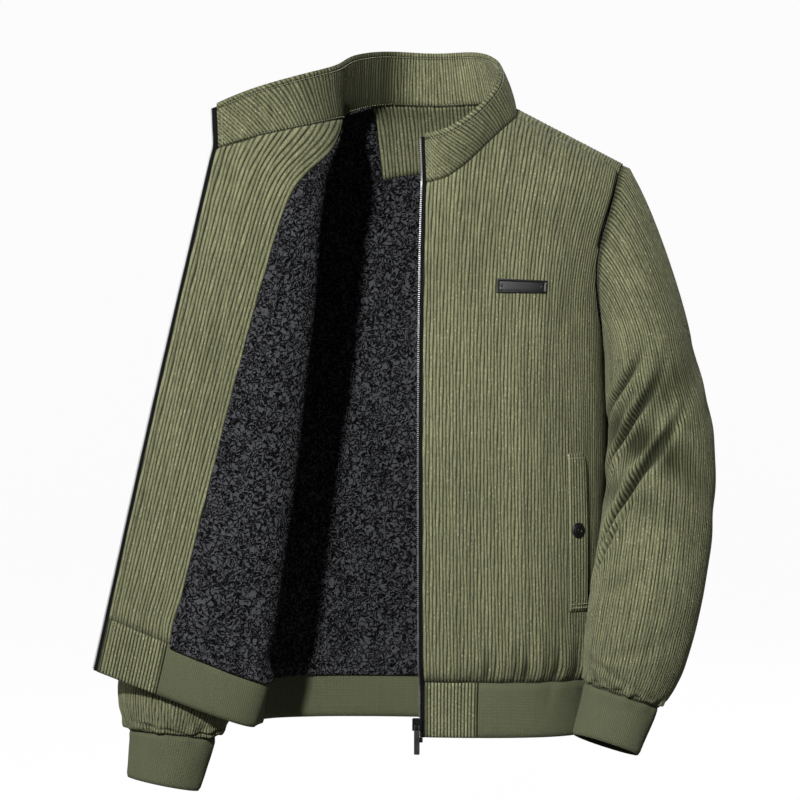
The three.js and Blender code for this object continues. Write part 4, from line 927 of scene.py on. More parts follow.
# %% Left and right front
def body_panel(name, right, per_wale):
    body_wales, side_wales = 54, 14
    t = fine_steps(
        [ZIP_MARGIN / QUARTER, ARMHOLE_COLUMN, 1 - SEAM_SHARE],
        [body_wales * per_wale, side_wales * per_wale],
    )
    columns = body_wales + side_wales
    phase = np.arange(columns * per_wale + 1) / per_wale
    T, J = np.meshgrid(t, ROWS)
    W = row_height(T, J, -1)
    wale = wale_profile(phase[None, :] * np.ones_like(T), W)
    press = side_press(T, [ZIP_MARGIN / QUARTER, 1]) + seam_press(W - HEM_SEAM, 3.5)
    press = press + np.where(T <= ARMHOLE_COLUMN + 1e-9, seam_press(cloth_top(T, -1) - W, 3), 0)
    press = press + seam_press(armhole_distance(T, W), 4, 1.8)
    S = 4 - T if right else T
    cell = np.zeros((len(ROWS) - 1, columns), bool)
    cell[:, :body_wales] = True
    cell[:FINE_ARM_ROW] = True
    fine, _ = garment(S, W, WALE_HEIGHT * (wale - WALE_MIDDLE) + press)
    # Painted shade in the wale's tone: darker in the gathers above the rib, along the armhole seam, and
    # toward the side seam under the arm, where the sleeve shades the body.
    wale = wale * painted_shade(-gathers(S, W), 1.6) * painted_shade(hill(armhole_distance(T, W) / 5), 0.8)
    wale = wale * painted_shade(
        smooth((T - 0.8) / 0.12) * smooth((ARMPIT + 30 - W) / 60) * smooth((W + 590) / 60), 1.1
    )
    bare, normal = garment(S[:, ::per_wale], W[:, ::per_wale])
    coarse = bare - SHELL * normal
    if right:
        fine, coarse, bare, cell, wale = (grid[:, ::-1] for grid in (fine, coarse, bare, cell, wale))
    return sew(
        name + "_cloth", CORDUROY, name, (fine, coarse, bare), per_wale, 1, cell, wale=wale,
        rests_on="collar_outer",
    )


body_panel("front_left", False, 6)
body_panel("front_right", True, 4)
print("fronts:", TRIANGLES, CUTS)


# %% [markdown]
# ## Back
# The back is one panel, and it comes over the ridge to the shoulder seam on the front's side. That is why
# a strip with wales across it shows on top of the shoulder.

# %% Back
def back_grid(t, rows, side=1):
    T, J = np.meshgrid(t, rows)
    return T, row_height(np.abs(T), J, side)


def make_back(per_wale=4):
    body_wales, side_wales = 110, 14
    edge = 1 - SEAM_SHARE
    t = fine_steps(
        [-edge, -ARMHOLE_COLUMN, ARMHOLE_COLUMN, edge],
        [n * per_wale for n in (side_wales, body_wales, side_wales)],
    )
    columns = body_wales + 2 * side_wales
    T, W = back_grid(t, ROWS)
    wale = wale_profile(np.arange(columns * per_wale + 1)[None, :] / per_wale * np.ones_like(T), W)
    press = side_press(T, [-1, 1]) + seam_press(W - HEM_SEAM, 3.5)
    press = press + np.where(np.abs(T) <= ARMHOLE_COLUMN + 1e-9, seam_press(cloth_top(T, 1) - W, 3), 0)
    cell = np.ones((len(ROWS) - 1, columns), bool)
    cell[FINE_ARM_ROW:, :side_wales] = False
    cell[FINE_ARM_ROW:, -side_wales:] = False
    fine, _ = garment(2 + T, W, WALE_HEIGHT * (wale - WALE_MIDDLE) + press)
    # Painted shade in the wale's tone: darker in the gathers above the rib.
    wale = wale * painted_shade(-gathers(2 + T, W), 1.6)
    bare, normal = garment(2 + T[:, ::per_wale], W[:, ::per_wale])
    grids = (fine, bare - SHELL * normal, bare)
    return sew("back_cloth", CORDUROY, "back", grids, per_wale, 1, cell, wale=wale, rests_on="collar_outer")


make_back()
print("back:", TRIANGLES["back_cloth"], CUTS["back_cloth"])


# %% [markdown]
# ## Facings
# A facing is the strip of corduroy inside a front's edge. The right one is in full view, and its wales
# run along the zip. It widens upwards to the neck's corner, so its wales spread by a few percent.

# %% Facings
def make_facing(side, per_wale):
    right = side == "right"
    under = UNDER_ROLLED_SHELL if right else UNDER_SHELL
    wales = 20
    A, J = np.meshgrid(np.linspace(0, 1, wales * per_wale + 1), ROWS)
    T = mix(ZIP_MARGIN / QUARTER, facing_share(J), A)
    W = row_height(T, J, -1)
    wale = wale_profile(A * wales, W)
    from_zip, from_fleece = A * 80, (1 - A) * 80
    press = (
        seam_press(from_zip, 2.6) + seam_press(from_zip - 9.5, 1.6, 1.5)
        + seam_press(from_fleece, 2.2, 0.6)
    )
    press = press + seam_press(W - HEM_SEAM, 3) + seam_press(cloth_top(T, -1) - W, 3)
    pucker = 1.3 * hill((from_zip - 20) / 12) * np.sin(W / 7.5 + A * 9) * smooth((W + 330) / 120)
    press = press + pucker + 1.0 * hill((from_zip - 5) / 3) + 0.8 * np.sin(W / 31 + A * 4) * smooth(A * 4)
    S = 4 - T if right else T
    fine, _ = garment(S, W, -under - FACING - WALE_HEIGHT * (wale - WALE_MIDDLE) - press)
    bare, normal = garment(S[:, ::per_wale], W[:, ::per_wale])
    coarse = bare - under * normal
    if right:
        fine, coarse, bare, wale = (grid[:, ::-1] for grid in (fine, coarse, bare, wale))
    name = "facing_" + side
    return sew(
        name + "_cloth", CORDUROY, name, (fine, coarse, bare), per_wale, 1, wale=wale,
        rests_on="front_" + side,
    )


make_facing("right", 6)
make_facing("left", 4)


def make_neck_facing(per_wale=6):
    wales, rows = 34, 12
    share = NECK_FACING_HALF / QUARTER - 2 * SEAM_SHARE
    T, F = np.meshgrid(np.linspace(-share, share, wales * per_wale + 1), np.linspace(0, 1, rows + 1))
    W = mix(YOKE + GAP, cloth_top(T, 1) - GAP / 2, F)
    wale = wale_profile((T + share) / (2 * share) * wales, W)
    press = seam_press((share - np.abs(T)) * QUARTER) + seam_press(F * 70, 3) + seam_press((1 - F) * 70, 3)
    fine, _ = garment(2 + T, W, -UNDER_SHELL - FACING - WALE_HEIGHT * (wale - WALE_MIDDLE) - press)
    bare, normal = garment(2 + T[:, ::per_wale], W[:, ::per_wale])
    grids = (fine, bare - UNDER_SHELL * normal, bare)
    return sew("neck_facing_cloth", CORDUROY, "neck_facing", grids, per_wale, 1, wale=wale)


make_neck_facing()
print("facings:", {k: v for k, v in CUTS.items() if "facing" in k})


# %% [markdown]
# ## Fleece
# The lining is a curly pile on a knitted back. Its curls are domes 5 to 9 mm across, made from a jittered
# net of points: a place's height falls with its distance to the nearest point, and the border between
# two domes is a crack. The finer wrinkles of the curls are in the material's bump.

# %% Curls
def curls(u, v, size, seed):
    """Domes over a jittered net in cloth millimetres: 0 in the cracks and 1 on top."""
    u, v = u / size, v / size
    iu, iv = np.floor(u), np.floor(v)
    nearest, second = np.full(u.shape, 9.0), np.full(u.shape, 9.0)
    for du in (-1, 0, 1):
        for dv in (-1, 0, 1):
            a, b = iu + du, iv + dv
            x = scatter(a * 127.1 + b * 311.7 + seed)
            y = scatter(a * 269.5 + b * 183.3 + seed * 1.7)
            d = np.hypot(a + x - u, b + y - v)
            second = np.minimum(second, np.maximum(nearest, d))
            nearest = np.minimum(nearest, d)
    return np.clip((second - nearest) / 0.45, 0, 1) ** 0.6


def pile_height(u, v, seed):
    bent_u = u + 3 * np.sin(v / 9.0 + seed) + 1.5 * np.sin(v / 3.7)
    bent_v = v + 3 * np.sin(u / 8.0 + seed * 2) + 1.5 * np.sin(u / 4.1)
    return 0.9 * curls(bent_u, bent_v, 8.5, seed) + 0.9 * curls(bent_u, bent_v, 4.9, seed + 5)


# How far the lining's lower edge hangs below the hem's seam, over the rib.
HANG = {"left": 6.0, "right": 3.5, "back": 17.0}


def hang_over(w):
    """How far in the lining stands to clear the rib that it hangs over."""
    return 3.3 * smooth((HEM_SEAM + 9 - w) / 9)


def make_lining(side, cell_mm, ki=4, kj=4):
    right = side == "right"
    under = UNDER_ROLLED_SHELL if right else UNDER_SHELL
    body = int(round((ARMHOLE_COLUMN * QUARTER - 80) / (cell_mm * ki)))
    side_cells = max(2, int(round((1 - ARMHOLE_COLUMN) * QUARTER / (cell_mm * ki))))
    coarse_rows = np.concatenate([[-1], ROWS])
    rows = fine_steps(coarse_rows, [kj] * (len(coarse_rows) - 1))
    a = np.arange((body + side_cells) * ki + 1) / ki
    A, J = np.meshgrid(a, rows)
    start = facing_share(J) + 2 * SEAM_SHARE
    T = np.where(
        A <= body, mix(start, ARMHOLE_COLUMN, A / body),
        mix(ARMHOLE_COLUMN, 1 - SEAM_SHARE, (A - body) / side_cells),
    )
    W = row_height(T, J, -1) - GAP * (J >= LAST_ROW) - HANG[side] * np.clip(-J, 0, 1)
    seed = 3.0 if right else 8.0
    pile = pile_height(T * QUARTER, W, seed)
    edge = np.minimum((T - start) * QUARTER, W - HEM_SEAM + HANG[side])
    pile = pile * smooth(edge / 3 + 0.3)
    cell = np.ones((len(coarse_rows) - 1, body + side_cells), bool)
    cell[FINE_ARM_ROW + 1:, body:] = False
    S = 4 - T if right else T
    over = hang_over(W)
    fine, _ = garment(S, W, -under - LINING + 0.8 - pile - over)
    bare, normal = garment(S[::kj, ::ki], W[::kj, ::ki])
    coarse = bare - (under + over[::kj, ::ki])[..., None] * normal
    if right:
        fine, coarse, bare, cell = (grid[:, ::-1] for grid in (fine, coarse, bare, cell))
    name = "lining_" + side
    return sew(
        name + "_fleece", FLEECE, name, (fine, coarse, bare), ki, kj, cell, rests_on="front_" + side,
        slot="fleece",
    )


def make_back_lining(cell_mm=3.3, ki=4, kj=4):
    share = NECK_FACING_HALF / QUARTER
    middle = int(round(2 * NECK_FACING_HALF / (cell_mm * ki)))
    part = int(round((ARMHOLE_COLUMN * QUARTER - NECK_FACING_HALF) / (cell_mm * ki)))
    side_cells = int(round((1 - ARMHOLE_COLUMN) * QUARTER / (cell_mm * ki)))
    edges = [-1 + SEAM_SHARE, -ARMHOLE_COLUMN, -share, share, ARMHOLE_COLUMN, 1 - SEAM_SHARE]
    counts = [side_cells, part, middle, part, side_cells]
    t = fine_steps(edges, [n * ki for n in counts])
    coarse_rows = np.concatenate([[-2, -1], ROWS])
    rows = fine_steps(coarse_rows, [kj] * (len(coarse_rows) - 1))
    T, J = np.meshgrid(t, rows)
    drop = HANG["back"] * np.clip(-J / 2, 0, 1)
    W = row_height(np.abs(T), J, 1) - drop
    end = W - HEM_SEAM + HANG["back"]
    pile = pile_height(T * QUARTER, W, 5.0) * smooth(end / 3 + 0.3)
    columns = sum(counts)
    cell = np.ones((len(coarse_rows) - 1, columns), bool)
    cell[FINE_ARM_ROW + 2:, :side_cells] = False
    cell[FINE_ARM_ROW + 2:, -side_cells:] = False
    neck_row = int(np.argmin(abs(coarse_rows - 12)))
    cell[neck_row:, side_cells + part: side_cells + part + middle] = False
    over = hang_over(W)
    fine, _ = garment(2 + T, W, -UNDER_SHELL - LINING + 0.8 - pile - over)
    bare, normal = garment(2 + T[::kj, ::ki], W[::kj, ::ki])
    grids = (fine, bare - (UNDER_SHELL + over[::kj, ::ki])[..., None] * normal, bare)
    return sew("lining_back_fleece", FLEECE, "lining_back", grids, ki, kj, cell, slot="fleece")


make_lining("right", 2.2)
make_lining("left", 5.0, 2, 2)
make_back_lining()
print("linings:", {k: v for k, v in TRIANGLES.items() if "lining" in k})


# %% [markdown]
# ## Hem
# The hem is a band of fine rib knit with a corduroy tab at each zip edge. A rib is a column of knit
# stitches between sunken ones, about 2 mm wide here. Both faces of the band show on the open side.

# %% Hem rib and tabs
RIB_PITCH, RIB_HEIGHT = 2.1, 0.35


def hem_band(name, node, shares, rows, per, profile, height, material, held, slot):
    """A band from shares of the body's turn, fine on both faces. profile gives 0 to 1 for each column."""
    S, F = np.meshgrid(shares, np.linspace(0, 1, rows + 1) ** 1.2)
    foot = HEM - 5 * smooth((1.1 - np.abs(S - 2)) / 0.5)
    W = mix(foot, HEM_SEAM - GAP / 2, F)
    ridge = profile[None, :] * np.ones_like(S)
    edge = np.minimum(W - foot, HEM_SEAM - W)
    round_off = 1.6 * hill(edge / 1.8)
    out = height * (ridge - 0.5) - np.where(W - foot < HEM_SEAM - W, round_off, seam_press(edge, 3, -1.0))
    bare, _ = garment(S[:, ::per], W[:, ::per])
    outer, inner = (garment(S, W, lift)[0] for lift in (out, -RIB_WALL - out))
    piece = sew(name, material, node, (outer, inner, bare), 1, 1, wale=ridge, held=held, slot=slot)
    both_faces = np.concatenate([ridge.ravel(), ridge.ravel()])
    piece.data.attributes["wale"].data.foreach_set("value", both_faces.astype(np.float32))
    return piece


def make_hem():
    start = ZIP_MARGIN / QUARTER
    left, right = TAB_LEFT / QUARTER, TAB_RIGHT / QUARTER
    for side, a, b in (("left", start, left - SEAM_SHARE), ("right", 4 - right + SEAM_SHARE, 4 - start)):
        wales = int(round((b - a) * QUARTER / WALE_PITCH))
        shares = np.linspace(a, b, wales * 6 + 1)
        profile = wale_profile(np.arange(wales * 6 + 1) / 6)
        ends = np.minimum(shares - a, b - shares) * QUARTER
        profile = profile + seam_press(ends, 2.2, 0.8)
        name = "hem_tab_" + side
        hem_band(name + "_cloth", name, shares, 14, 6, profile, WALE_HEIGHT, CORDUROY, "hung", "corduroy")
    a, b = left - 1.3 * SEAM_SHARE, 4 - right + 1.3 * SEAM_SHARE
    ribs = int(round((b - a) * QUARTER / RIB_PITCH))
    profile = (1 - np.cos(2 * math.pi * np.arange(ribs * 3 + 1) / 3)) / 2
    shares = np.linspace(a, b, ribs * 3 + 1)
    hem_band("hem_rib_knit", "hem_rib", shares, 8, 3, profile, RIB_HEIGHT, RIB, "gathered", "rib_knit")


make_hem()
print("hem:", {k: v for k, v in TRIANGLES.items() if "hem" in k})


# %% [markdown]
# ## Collar
# The collar is a band sewn to the neck edge, two layers with a folded top. Each place on the neck edge has
# a direction in which the band stands, from a short table. Its wales stand square to the seam, so they
# slant where the front ends lean over, and the zip's edge cuts across them. Both directions of the grid
# are fine, because these wales don't follow its columns.

# %% Neck edge and stand of the collar
COLLAR_WALL, COLLAR_LIFT = 2.0, 0.5
COLLAR_STAND = {
    "share": [0, 0.053, 0.095, 0.14, 0.18, 0.225, 0.265, 0.34, 0.5, 0.735, 0.83, 1],
    "x": [-0.04, -0.2, -0.3, -0.34, -0.3, -0.28, -0.32, -0.28, 0, 0, -0.1, -0.04],
    "y": [0, -0.3, -0.55, -0.7, -0.7, -0.45, -0.15, 0, 0, 0, 0, 0],
    "height": [52, 48, 44, 42, 43, 48, 55, 57, 56, 60, 57, 49],
}


def unit(v):
    return v / np.linalg.norm(v, axis=-1, keepdims=True)


def along_length(points, *others, step=None, count=None):
    """Points and their companions, spread evenly by length along the points."""
    length = np.concatenate([[0], np.cumsum(np.linalg.norm(np.diff(points, axis=0), axis=1))])
    count = count or int(round(length[-1] / step)) + 1
    at = np.linspace(0, length[-1], count)
    spread = [
        np.stack([np.interp(at, length, a[:, k]) for k in range(a.shape[1])], -1) for a in (points, *others)
    ]
    return spread, at


def rounded(a, reach):
    """Smooths a row of places, with its ends kept."""
    k = np.arange(-3 * reach, 3 * reach + 1)
    weight = np.exp(-0.5 * (k / reach) ** 2)
    weight /= weight.sum()
    padded = np.concatenate(
        [2 * a[:1] - a[1: 3 * reach + 1][::-1], a, 2 * a[-1:] - a[-3 * reach - 1: -1][::-1]]
    )
    return np.stack([np.convolve(padded[:, c], weight, "valid") for c in range(a.shape[1])], -1)


def neck_edge(step):
    t = np.linspace(ZIP_MARGIN / QUARTER, NECK_COLUMN, 500)
    share = np.linspace(-NECK_COLUMN, NECK_COLUMN, 900)
    parts = [(t, cloth_top(t, -1)), (2 + share, cloth_top(share, 1)), (4 - t[::-1], cloth_top(t[::-1], -1))]
    points, normals = zip(*(garment(s, w) for s, w in parts))
    (points, normals), at = along_length(np.concatenate(points), np.concatenate(normals), step=step)
    return rounded(points, 6), unit(rounded(normals, 6)), at


NECK_STEP = 0.75
NECK_POINTS, NECK_NORMALS, NECK_AT = neck_edge(NECK_STEP)
NECK_LENGTH = NECK_AT[-1]
STAND = {k: table_value(COLLAR_STAND, "share", k, NECK_AT / NECK_LENGTH) for k in ("x", "y", "height")}
COLLAR_UP = unit(np.stack([STAND["x"], STAND["y"], np.ones_like(NECK_AT)], -1))
_collar_rise = rounded(NECK_POINTS + COLLAR_UP * STAND["height"][:, None], 22) - NECK_POINTS
STAND["height"] = np.linalg.norm(_collar_rise, axis=1)
COLLAR_UP = unit(_collar_rise)
COLLAR_NORMALS = unit(np.cross(unit(rounded(np.gradient(NECK_POINTS, axis=0), 9)), COLLAR_UP))
print("neck edge, mm:", round(NECK_LENGTH), "points:", len(NECK_AT))


# %% Collar layers
def collar_point(h, out):
    """Points of the collar at a share h of its height. h and out are (rows, stations)."""
    turn = smooth(h / 0.3)[..., None]
    normal = unit(mix(NECK_NORMALS[None], COLLAR_NORMALS[None], turn))
    rise = (COLLAR_LIFT + h * STAND["height"] - 1.5 * np.clip(1 - h / 0.02, 0, 1))[..., None]
    return NECK_POINTS + COLLAR_UP * rise + normal * (out + 1.5 * np.sin(math.pi * h))[..., None]


def make_collar(name, node, inside, ki=4, kj=4):
    columns = (len(NECK_AT) - 1) // ki
    keep = columns * ki + 1
    rows = 11
    H = np.linspace(0, 1, rows * kj + 1)[:, None] * np.ones(len(NECK_AT))
    V = H * STAND["height"]
    from_left, from_right = NECK_AT[None], (NECK_LENGTH - NECK_AT)[None]
    slant = 0.8 * hill(from_left / 95) * V - 0.8 * hill(from_right / 95) * V
    wale = wale_profile((from_left + slant) / WALE_PITCH, V + 40)
    down = STAND["height"] - V
    press = seam_press(V, 2.6) + seam_press(down - 6, 1.3, 0.9)
    press = press + seam_press(from_left - 8, 1.2, 0.9) + seam_press(from_right - 8, 1.2, 0.9)
    press = press + seam_press(from_left, 2.2) + seam_press(from_right, 2.2)
    fold = 2.1 * np.clip(1 - down / 4.5, 0, 1) ** 2
    puff = 0.8 * np.sin(math.pi * H) * np.sin(from_left / 23.0) * hill((from_left - NECK_LENGTH / 2) / 300)
    out = WALE_HEIGHT * (wale - WALE_MIDDLE) * (1 - 0.5 * np.clip(1 - down / 3, 0, 1)) + press - fold + puff
    # Painted shade in the wale's tone: darker in the pressed line below the fold and along the neck seam.
    wale = wale * painted_shade(hill((down - 6) / 1.3), 1.1) * painted_shade(hill(V / 2.2), 1.1)
    if inside:
        # Painted shadow: a dark patch inside the collar just behind the right side of the neck, where the
        # turned-out right part shades it. It fades toward the back and is lighter toward the top.
        turn = smooth((from_left - 312) / 46) * smooth((600 - from_left) / 225) ** 1.6
        wale = wale * painted_shade(turn * (1.06 - 0.3 * H), 0.98)
        out = -2 * COLLAR_WALL - GAP - (out - puff) + puff
        coarse_out = -COLLAR_WALL - GAP
    else:
        coarse_out = -COLLAR_WALL
    fine = collar_point(H, out)[:, :keep]
    flat = collar_point(H[::kj], np.zeros_like(H[::kj]) + coarse_out)[:, :keep:ki]
    return sew(name, CORDUROY, node, (fine, flat, flat), ki, kj, wale=wale[:, :keep], held="folded")


make_collar("collar_outer_cloth", "collar_outer", False)
make_collar("collar_inner_cloth", "collar_inner", True)
print("collar:", {k: (TRIANGLES[k], CUTS[k]) for k in TRIANGLES if "collar" in k})


# %% [markdown]
# ## Sleeves
# Each sleeve is one tube. Its cap leaves the armhole in a curve, and the arm is a row of rings along a
# bent centre line. Wales run down it, so each column of the grid keeps its angle round the arm. The
# left elbow is bent, with creases inside the bend, and the cloth is gathered above the cuff.

# %% Arms
LEFT_ARM = {
    "x": [241, 252, 255, 251.5, 243, 232.5, 226, 220.5, 218],
    "y": [-5, -15, -33, -56, -76, -85, -87, -88, -88.7],
    "z": [-250, -320, -385, -450, -515, -567, -594, -612, -620],
    "across": [48, 57, 60, 60.5, 60, 56.5, 52, 46.5, 42],
    "deep": [70, 66, 63, 59, 53, 49, 44, 36, 30],
}
RIGHT_ARM = {
    "x": [-239, -250, -261, -271, -280, -285, -287.5, -288.5],
    "y": [-2, -4, -8, -13, -20, -27, -31, -32],
    "z": [-250, -330, -420, -510, -590, -640, -668, -680],
    "across": [47, 55, 60, 63, 65, 66, 58, 49],
    "deep": [70, 66, 62, 58, 54, 50, 42, 33],
}
for _arm in (LEFT_ARM, RIGHT_ARM):
    _arm["f"] = list(np.linspace(0, 1, len(_arm["x"])))
CUFF_LENGTH, CUFF_RIBS = 56, 110
SLEEVE_LENGTH, CAP_SHARE, CAP_RINGS = 370, 0.22, 15
CUFF_END = {"left": (0.0, -0.2, 37.5, 24), "right": (-0.1, 0.0, 42, 28)}
# share down the arm, degrees round it, depth mm, width, slant; each reaches as many degrees either way
ELBOW_REACH = 70
ELBOW_FOLDS = [(0.1, 175, 5, 0.045, 0.05), (0.21, 200, 7, 0.05, -0.06), (0.32, 215, 4, 0.04, -0.05)]


def arm_at(table, f):
    def centre(at):
        return np.stack([table_value(table, "f", k, at) for k in "xyz"], -1)

    along = unit(centre(f + 0.01) - centre(f - 0.01))
    return centre(f), along, table_value(table, "f", "across", f), table_value(table, "f", "deep", f)


def ring_point(ring, angle, right, out=0.0):
    """90 degrees points away from the body and 180 to the front."""
    centre, along, across, deep = ring
    away = np.array([-1.0 if right else 1.0, 0, 0]) - along * (along[..., :1] * (-1.0 if right else 1.0))
    backward = np.array([0, 1.0, 0]) - along * along[..., 1:2]
    x = (np.sin(angle) * (across + out))[..., None] * unit(away)
    return centre + x + (np.cos(angle) * (deep + out))[..., None] * unit(backward)


def armhole_edge(right, count=260):
    """The armhole up the front, over the shoulder and down the back, and the middle of the CAD's ring."""

    def place(t, w, back):
        s = 2 - t if back else t
        return garment(4 - s if right else s, w)[0]

    def curve(phi):
        return 1 - (1 - ARMHOLE_COLUMN) * np.sin(phi), ARMHOLE_TOP - (ARMHOLE_TOP - ARMPIT) * np.cos(phi)

    phi = np.linspace(0, math.pi / 2, count)
    tops = {side: float(cloth_top(ARMHOLE_COLUMN, side)) - GAP / 2 for side in (-1, 1)}
    a = np.full(count, ARMHOLE_COLUMN)
    fine = [
        place(*curve(phi), False),
        place(a, np.linspace(ARMHOLE_TOP, tops[-1], count), False)[1:],
        place(a, np.linspace(tops[1], ARMHOLE_TOP, count), True)[1:],
        place(*curve(phi[::-1]), True)[1:],
    ]
    c = np.arcsin(1 - np.sin(np.radians([67.5, 45, 22.5])))
    up_front = [row_height(ARMHOLE_COLUMN, j, -1) for j in range(ARM_ROW, LAST_ROW + 1)]
    down_back = [row_height(ARMHOLE_COLUMN, j, 1) for j in range(LAST_ROW - 1, ARM_ROW - 1, -1)]
    t = np.concatenate([[1], curve(c)[0]])
    w = np.concatenate([[ARMPIT], curve(c)[1]])
    coarse = np.concatenate(
        [
            place(t, w, False),
            place(np.full(len(up_front), ARMHOLE_COLUMN), np.array(up_front, float), False),
            place(np.full(len(down_back), ARMHOLE_COLUMN), np.array(down_back, float), True),
            place(t[:0:-1], w[:0:-1], True),
            place(t[:1], w[:1], False),
        ]
    )
    return np.concatenate(fine), coarse.mean(0)


def degrees_from(turn, where):
    return np.mod(turn - where + 540, 360) - 180


def crease(v, angle, at, turn, deep, wide, slant, reach):
    """One pressed crease with a soft ridge beside it."""
    round_it = degrees_from(np.degrees(angle), turn) / reach
    across = (v - at - slant * round_it) / wide
    return -deep * hill(round_it) * (hill(across) - 0.45 * hill(across - 1.5) - 0.35 * hill(across + 1.6))


# share down the arm (0 at the armpit), degrees round it, depth mm, width, slant, reach in degrees
LEFT_CREASES = [
    (0.02, 200, 2.6, 0.022, 0.06, 46),
    (0.075, 222, 9.0, 0.014, 0.05, 36),
    (0.165, 214, 12.0, 0.016, 0.085, 38),
    (0.235, 238, 6.0, 0.012, 0.06, 24),
    (0.30, 206, 14.0, 0.018, 0.115, 42),
    (0.41, 230, 7.0, 0.014, 0.09, 30),
    (0.47, 190, 1.6, 0.025, 0.05, 50),
    (0.63, 170, 1.4, 0.030, 0.08, 55),
    (0.78, 200, 1.6, 0.028, -0.07, 50),
    (0.12, 95, 1.6, 0.030, 0.05, 40),
    (0.34, 60, 1.8, 0.035, -0.04, 50),
]
RIGHT_CREASES = [
    (0.25, 130, 2.0, 0.03, 0.05, 50),
    (0.42, 70, 2.4, 0.03, -0.05, 60),
    (0.6, 110, 1.8, 0.03, 0.06, 60),
    (0.90, 168, 2.2, 0.016, 0.03, 30),
    (0.905, 238, 7.0, 0.015, -0.045, 24),
    (0.8, 40, 1.8, 0.03, -0.05, 50),
]


def sleeve_fold(v, angle, left):
    turn = np.degrees(angle)
    depth = 1.9 * smooth((v - 0.84) / 0.08) * smooth((0.965 - v) / 0.05) * np.sin(11 * angle)
    depth = depth + 1.1 * smooth((v - 0.8) / 0.1) * smooth((0.965 - v) / 0.05) * np.sin(17 * angle + 1.3)
    if left:
        for at, where, deep, wide, slant in ELBOW_FOLDS:
            round_it = degrees_from(turn, where) / ELBOW_REACH
            depth = depth - deep * hill(round_it) * hill((v - at - slant * round_it) / wide)
    for at, where, deep, wide, slant, reach in LEFT_CREASES if left else RIGHT_CREASES:
        depth = depth + crease(v, angle, at, where, deep, wide, slant, reach)
    return depth + 0.9 * np.sin(2 * angle + 7 * v) * np.sin(9 * v + angle) * smooth((v + 0.15) / 0.2)


def make_sleeve(side, per_wale=4, wales=106):
    right = side == "right"
    away = -1.0 if right else 1.0
    table = RIGHT_ARM if right else LEFT_ARM
    edge, middle = armhole_edge(right)
    raw = np.unwrap(np.arctan2((edge[:, 2] - middle[2]) / 100, (edge[:, 1] - middle[1]) / 55))
    raw[0] = -math.pi / 2
    falling = np.maximum.accumulate(-np.minimum(raw, -math.pi / 2 - 1e-6))
    falling[0], falling[-1] = math.pi / 2, 2.5 * math.pi
    falling = np.minimum(falling, 2.5 * math.pi) + np.arange(len(falling)) * 1e-9
    n = wales * per_wale
    want = math.pi / 2 + 2 * math.pi * np.arange(n + 1) / n
    start = np.stack([np.interp(want, falling, edge[:, k]) for k in range(3)], -1) + [away * 0.5, 0, 0]
    start = rounded(np.concatenate([start[-40:-1], start, start[1:40]]), 3)[39:-39]
    angle = -want
    up = (np.sin(angle) + 1) / 2

    def reach(bottom, at_side, top):
        return mix(mix(bottom, at_side, smooth(up * 2)), top, smooth(up * 2 - 1))[:, None]

    outward = unit(np.stack([np.full(n + 1, away), np.zeros(n + 1), -0.75 * up * up], -1))
    outward[:, 1] = 0.35 * np.cos(angle) * (1 - up)
    first = arm_at(table, np.zeros(1))
    end = ring_point(first, angle, right)
    cap_f = np.linspace(0, 1, CAP_RINGS)
    legs = (start, start + outward * reach(8, 34, 92) / 3, end - first[1] * reach(14, 90, 120) / 3, end)
    cap = bezier(*(leg[None] for leg in legs), np.broadcast_to(cap_f[:, None], (CAP_RINGS, n + 1)))
    v = np.linspace(0, 1, 101)[1:]
    if right:
        v = np.concatenate([np.linspace(0, 0.72, 31), np.linspace(0.72, 1, 26)[1:]])[1:]
    A, V = np.meshgrid(angle, v)
    centre, along, across, deep = arm_at(table, v)
    ring = (centre[:, None], along[:, None], across[:, None], deep[:, None])
    arm = ring_point(ring, A, right)
    base = np.concatenate([cap, arm])
    V = np.concatenate([np.broadcast_to((cap_f[:, None] - 1) * CAP_SHARE, (CAP_RINGS, n + 1)), V])
    A = np.broadcast_to(angle, V.shape)
    down = np.gradient(base, axis=0)
    wide = np.concatenate([base[:, -3:-1], base, base[:, 1:3]], 1)
    normal = unit(np.cross(down, wide[:, 4:] - wide[:, :-4]))
    outside = np.sign((normal * (base - base.mean(1, keepdims=True))).sum(-1).mean())
    normal = rounded_ring(normal * outside)
    fold = sleeve_fold(V, A, not right) * smooth((V + 0.2) / 0.12)
    wale = wale_profile(np.arange(n + 1)[None, :] / per_wale * np.ones_like(V), V * SLEEVE_LENGTH)
    steps = np.concatenate(
        [np.zeros((1, n + 1)), np.cumsum(np.linalg.norm(np.diff(base, axis=0), axis=-1), 0)]
    )
    press = seam_press(steps, 4.5, 2.4) + seam_press(steps[-1:] - steps, 5, 1.3)
    under = np.minimum(np.mod(A - math.pi * 1.5, 2 * math.pi), np.mod(math.pi * 1.5 - A, 2 * math.pi)) * 60
    press = press + seam_press(under, 2.6)
    puff = 1.6 * hill((steps - 9) / 7)
    plain = base + normal * fold[..., None]
    fine = plain + normal * (WALE_HEIGHT * (wale - WALE_MIDDLE) + press + puff)[..., None]
    # Painted shade in the wale's tone: darker in the valleys of the folds and beside the armhole and cuff
    # seams.
    wale = wale * painted_shade(-fold - 0.8, 6) * painted_shade(hill(steps / 5), 0.8)
    wale = wale * painted_shade(hill((steps[-1:] - steps) / 4), 1.2)
    coarse = (plain - normal * SHELL)[:, ::per_wale]
    name, grids = "sleeve_" + side, (fine, coarse, base[:, ::per_wale])
    finishes = [CORDUROY, DARK_LINING]
    return sew(
        name + "_cloth", finishes, name, grids, per_wale, 1, ring=True, wale=wale, rests_on="front_" + side
    )


